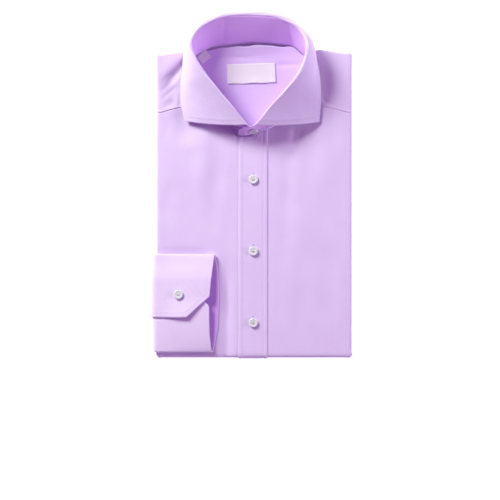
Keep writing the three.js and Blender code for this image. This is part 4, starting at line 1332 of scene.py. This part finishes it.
cuff_points, cuff_normals = grid_of(cuff, cuff_index)
line, normal = inset_line(cuff_points, cuff_normals, CUFF_HEM)
mouth_x, mouth_y = (np.abs(np.gradient(cuff_points[0][:, k])) for k in (0, 1))
slant = mouth_x / np.maximum(mouth_y, 0.2)
cuff_lines = []
for column in range(len(line)):
    reach = CUFF_HEM * math.hypot(1, min(float(slant[column]), 1.3))
    found, way = inset_line(cuff_points[:, column : column + 1], cuff_normals[:, column : column + 1], reach)
    line[column], normal[column] = found[0], way[0]
station = np.arange(len(line))
under = station < LAYER_STEPS
flap = (station >= len(line) - LAYER_STEPS) & (line[:, 1] > CUFF["overlap_end"] + CUFF_HEM)
for part in (flap, under):
    cuff_lines.append(raised((line[part], normal[part]), LINED_WALL / 2))
flap_end = inset_line(cuff_points[:, ::-1].swapaxes(0, 1), cuff_normals[:, ::-1].swapaxes(0, 1), CUFF_HEM)
inner = flap_end[0][:, 0] < np.interp(CUFF["overlap_end"] + CUFF_HEM, *MOUTH_FLAP) - CUFF_HEM * 1.45
cuff_lines.append(raised((flap_end[0][inner], flap_end[1][inner]), LINED_WALL / 2))
add_stitches("stitching_cuff", cuff_lines)

placket_lines = []
y = np.linspace(2, 264, 200)
for x in (PLACKET[0] + PLACKET_HEM, PLACKET[1] - PLACKET_HEM):
    xs = np.full_like(y, x)
    points = np.stack([xs, y, top_height(xs, y) + 0.85], axis=1)
    points = points[y > BOTTOM_TURN.reach]
    placket_lines.append((points, np.broadcast_to([0.0, 0.0, 1.0], points.shape)))
add_stitches("stitching_placket", placket_lines)

yoke_lines = []
for sign in (-1, 1):
    x = sign * np.linspace(66, HALF_WIDTH - 1.2, 60)
    y = yoke_seam_y(x) + 1.3
    inside = np.minimum(np.abs(x), HALF_WIDTH - SIDE_TURN.reach) * sign
    over = np.maximum(0, np.abs(x) - HALF_WIDTH + SIDE_TURN.reach) / SIDE_TURN.reach
    z = top_height(inside, y) + 0.22
    z = z - (z - side_floor(y)) / 2 * (1 - np.sqrt(np.clip(1 - over**2, 0, 1)))
    points = np.stack([x, y, z], axis=1)
    yoke_lines.append((points, np.broadcast_to([0.0, 0.0, 1.0], points.shape)))
add_stitches("stitching_yoke", yoke_lines)

label_points, label_normals = grid_of(label, label_index)
label_lines = []
for cells in ((-2, slice(1, -1)), (slice(1, -1), 1), (slice(1, -1), -2)):
    label_lines.append((label_points[cells], label_normals[cells]))
add_stitches("stitching_label", label_lines, 1.2, 1.7, 0.14, label_cloth)

# Buttons.
UP = np.array([0.0, 0.0, 1.0])
for number, y in enumerate(FRONT_BUTTONS_Y, 1):
    z = float(top_height(np.array(CENTRE), np.array(float(y)))) + 1.1
    add_buttonhole(f"buttonhole_front_{number}", (CENTRE, y + 1.0, z), UP, (0, 1, 0), 15)
    foot = (CENTRE, y, z + 0.3)
    add_button(f"button_front_{number}", f"front_button_{number}", foot, UP, (0, 1, 0), 0.3 * number)

cuff_x, cuff_y = CUFF_BUTTON
mouth = float(np.interp(cuff_y, *MOUTH_FLAP))
share = CUFF_FLAT_SHARE * (cuff_x - mouth) / (unrolled(0) - mouth)
flap_z = cuff_flap(np.array(cuff_y), cuff_hollow(share))
cuff_z = float(top_height(np.array(cuff_x), np.array(cuff_y)) + flap_z + LINED_WALL / 2)
cuff_tilt = (-0.035, 0.03, 1.0)
add_buttonhole("buttonhole_cuff", (cuff_x, cuff_y - 0.8, cuff_z), cuff_tilt, (0, 1, 0), 14)
add_button("button_cuff", "cuff_button", (cuff_x, cuff_y, cuff_z + 0.3), cuff_tilt, (0, 1, 0), 0.2)

foot = neck_curve(np.array([STAND_SHARE]))[0]
head = fold_curve(np.array([STAND_SHARE]))[0]
stand_up = unit(head - foot)
stand_out = np.cross([1.0, 0.0, 0.0], stand_up)
collar_place = mix(foot, head, 0.5) + stand_out * 1.9
add_buttonhole("buttonhole_collar", collar_place + [-2.2, 0, 0] - stand_out * 0.35, stand_out, (1, 0, 0), 14)
add_button("button_collar", "collar_button", collar_place, stand_out, stand_up, 0.4)


# Stage, light and camera.
VIEW_CENTRE = (-0.00193, -0.07639)
VIEW_HEIGHT = 3.0
FIELD = 0.6
FLOOR_HALF = 6.0
FLOOR_DROP = 0.0004


def area_light(name, place, aim, size, power, colour):
    data = bpy.data.lights.new(name, "AREA")
    data.size = size
    data.energy = power
    data.color = colour
    light = bpy.data.objects.new(name, data)
    light.location = place
    light.rotation_euler = (Vector(aim) - Vector(place)).to_track_quat("-Z", "Y").to_euler()
    bpy.context.scene.collection.objects.link(light)
    return light


floor_mesh = bpy.data.meshes.new("floor")
floor_corners = [(x * FLOOR_HALF, y * FLOOR_HALF, -FLOOR_DROP) for x, y in ((-1, -1), (1, -1), (1, 1), (-1, 1))]
floor_mesh.from_pydata(floor_corners, [], [[0, 1, 2, 3]])
floor = bpy.data.objects.new("floor", floor_mesh)
bpy.context.scene.collection.objects.link(floor)
floor_material, floor_tree, floor_shader = new_material("floor_white", 0.9)
floor_shader.inputs["Base Color"].default_value = (0.82, 0.82, 0.83, 1)
floor_shader.inputs["Emission Color"].default_value = (1, 1, 1, 1)
floor_shader.inputs["Emission Strength"].default_value = 0.8
floor_mesh.materials.append(floor_material)

area_light("key", (-1.34, 1.42, 1.22), (0, 0.02, 0), 0.8, 68, (0.94, 1.0, 0.90))
area_light("fill", (2.1, -0.1, 0.82), (0, 0, 0), 0.8, 22, (0.96, 0.94, 1.0))
world = bpy.data.worlds.new("studio")
world.use_nodes = True
world.node_tree.nodes["Background"].inputs["Color"].default_value = (0.80, 0.33, 1.0, 1)
world.node_tree.nodes["Background"].inputs["Strength"].default_value = 0.29
bpy.context.scene.world = world

camera_data = bpy.data.cameras.new("camera")
camera_data.sensor_width = 36
camera_data.lens = 36 * (VIEW_HEIGHT - 0.017) / FIELD
camera = bpy.data.objects.new("camera", camera_data)
camera.location = (*VIEW_CENTRE, VIEW_HEIGHT)
bpy.context.scene.collection.objects.link(camera)
bpy.context.scene.camera = camera

bpy.context.scene.view_settings.view_transform = "Standard"
bpy.context.scene.view_settings.look = "None"
bpy.context.scene.view_settings.exposure = 0.0
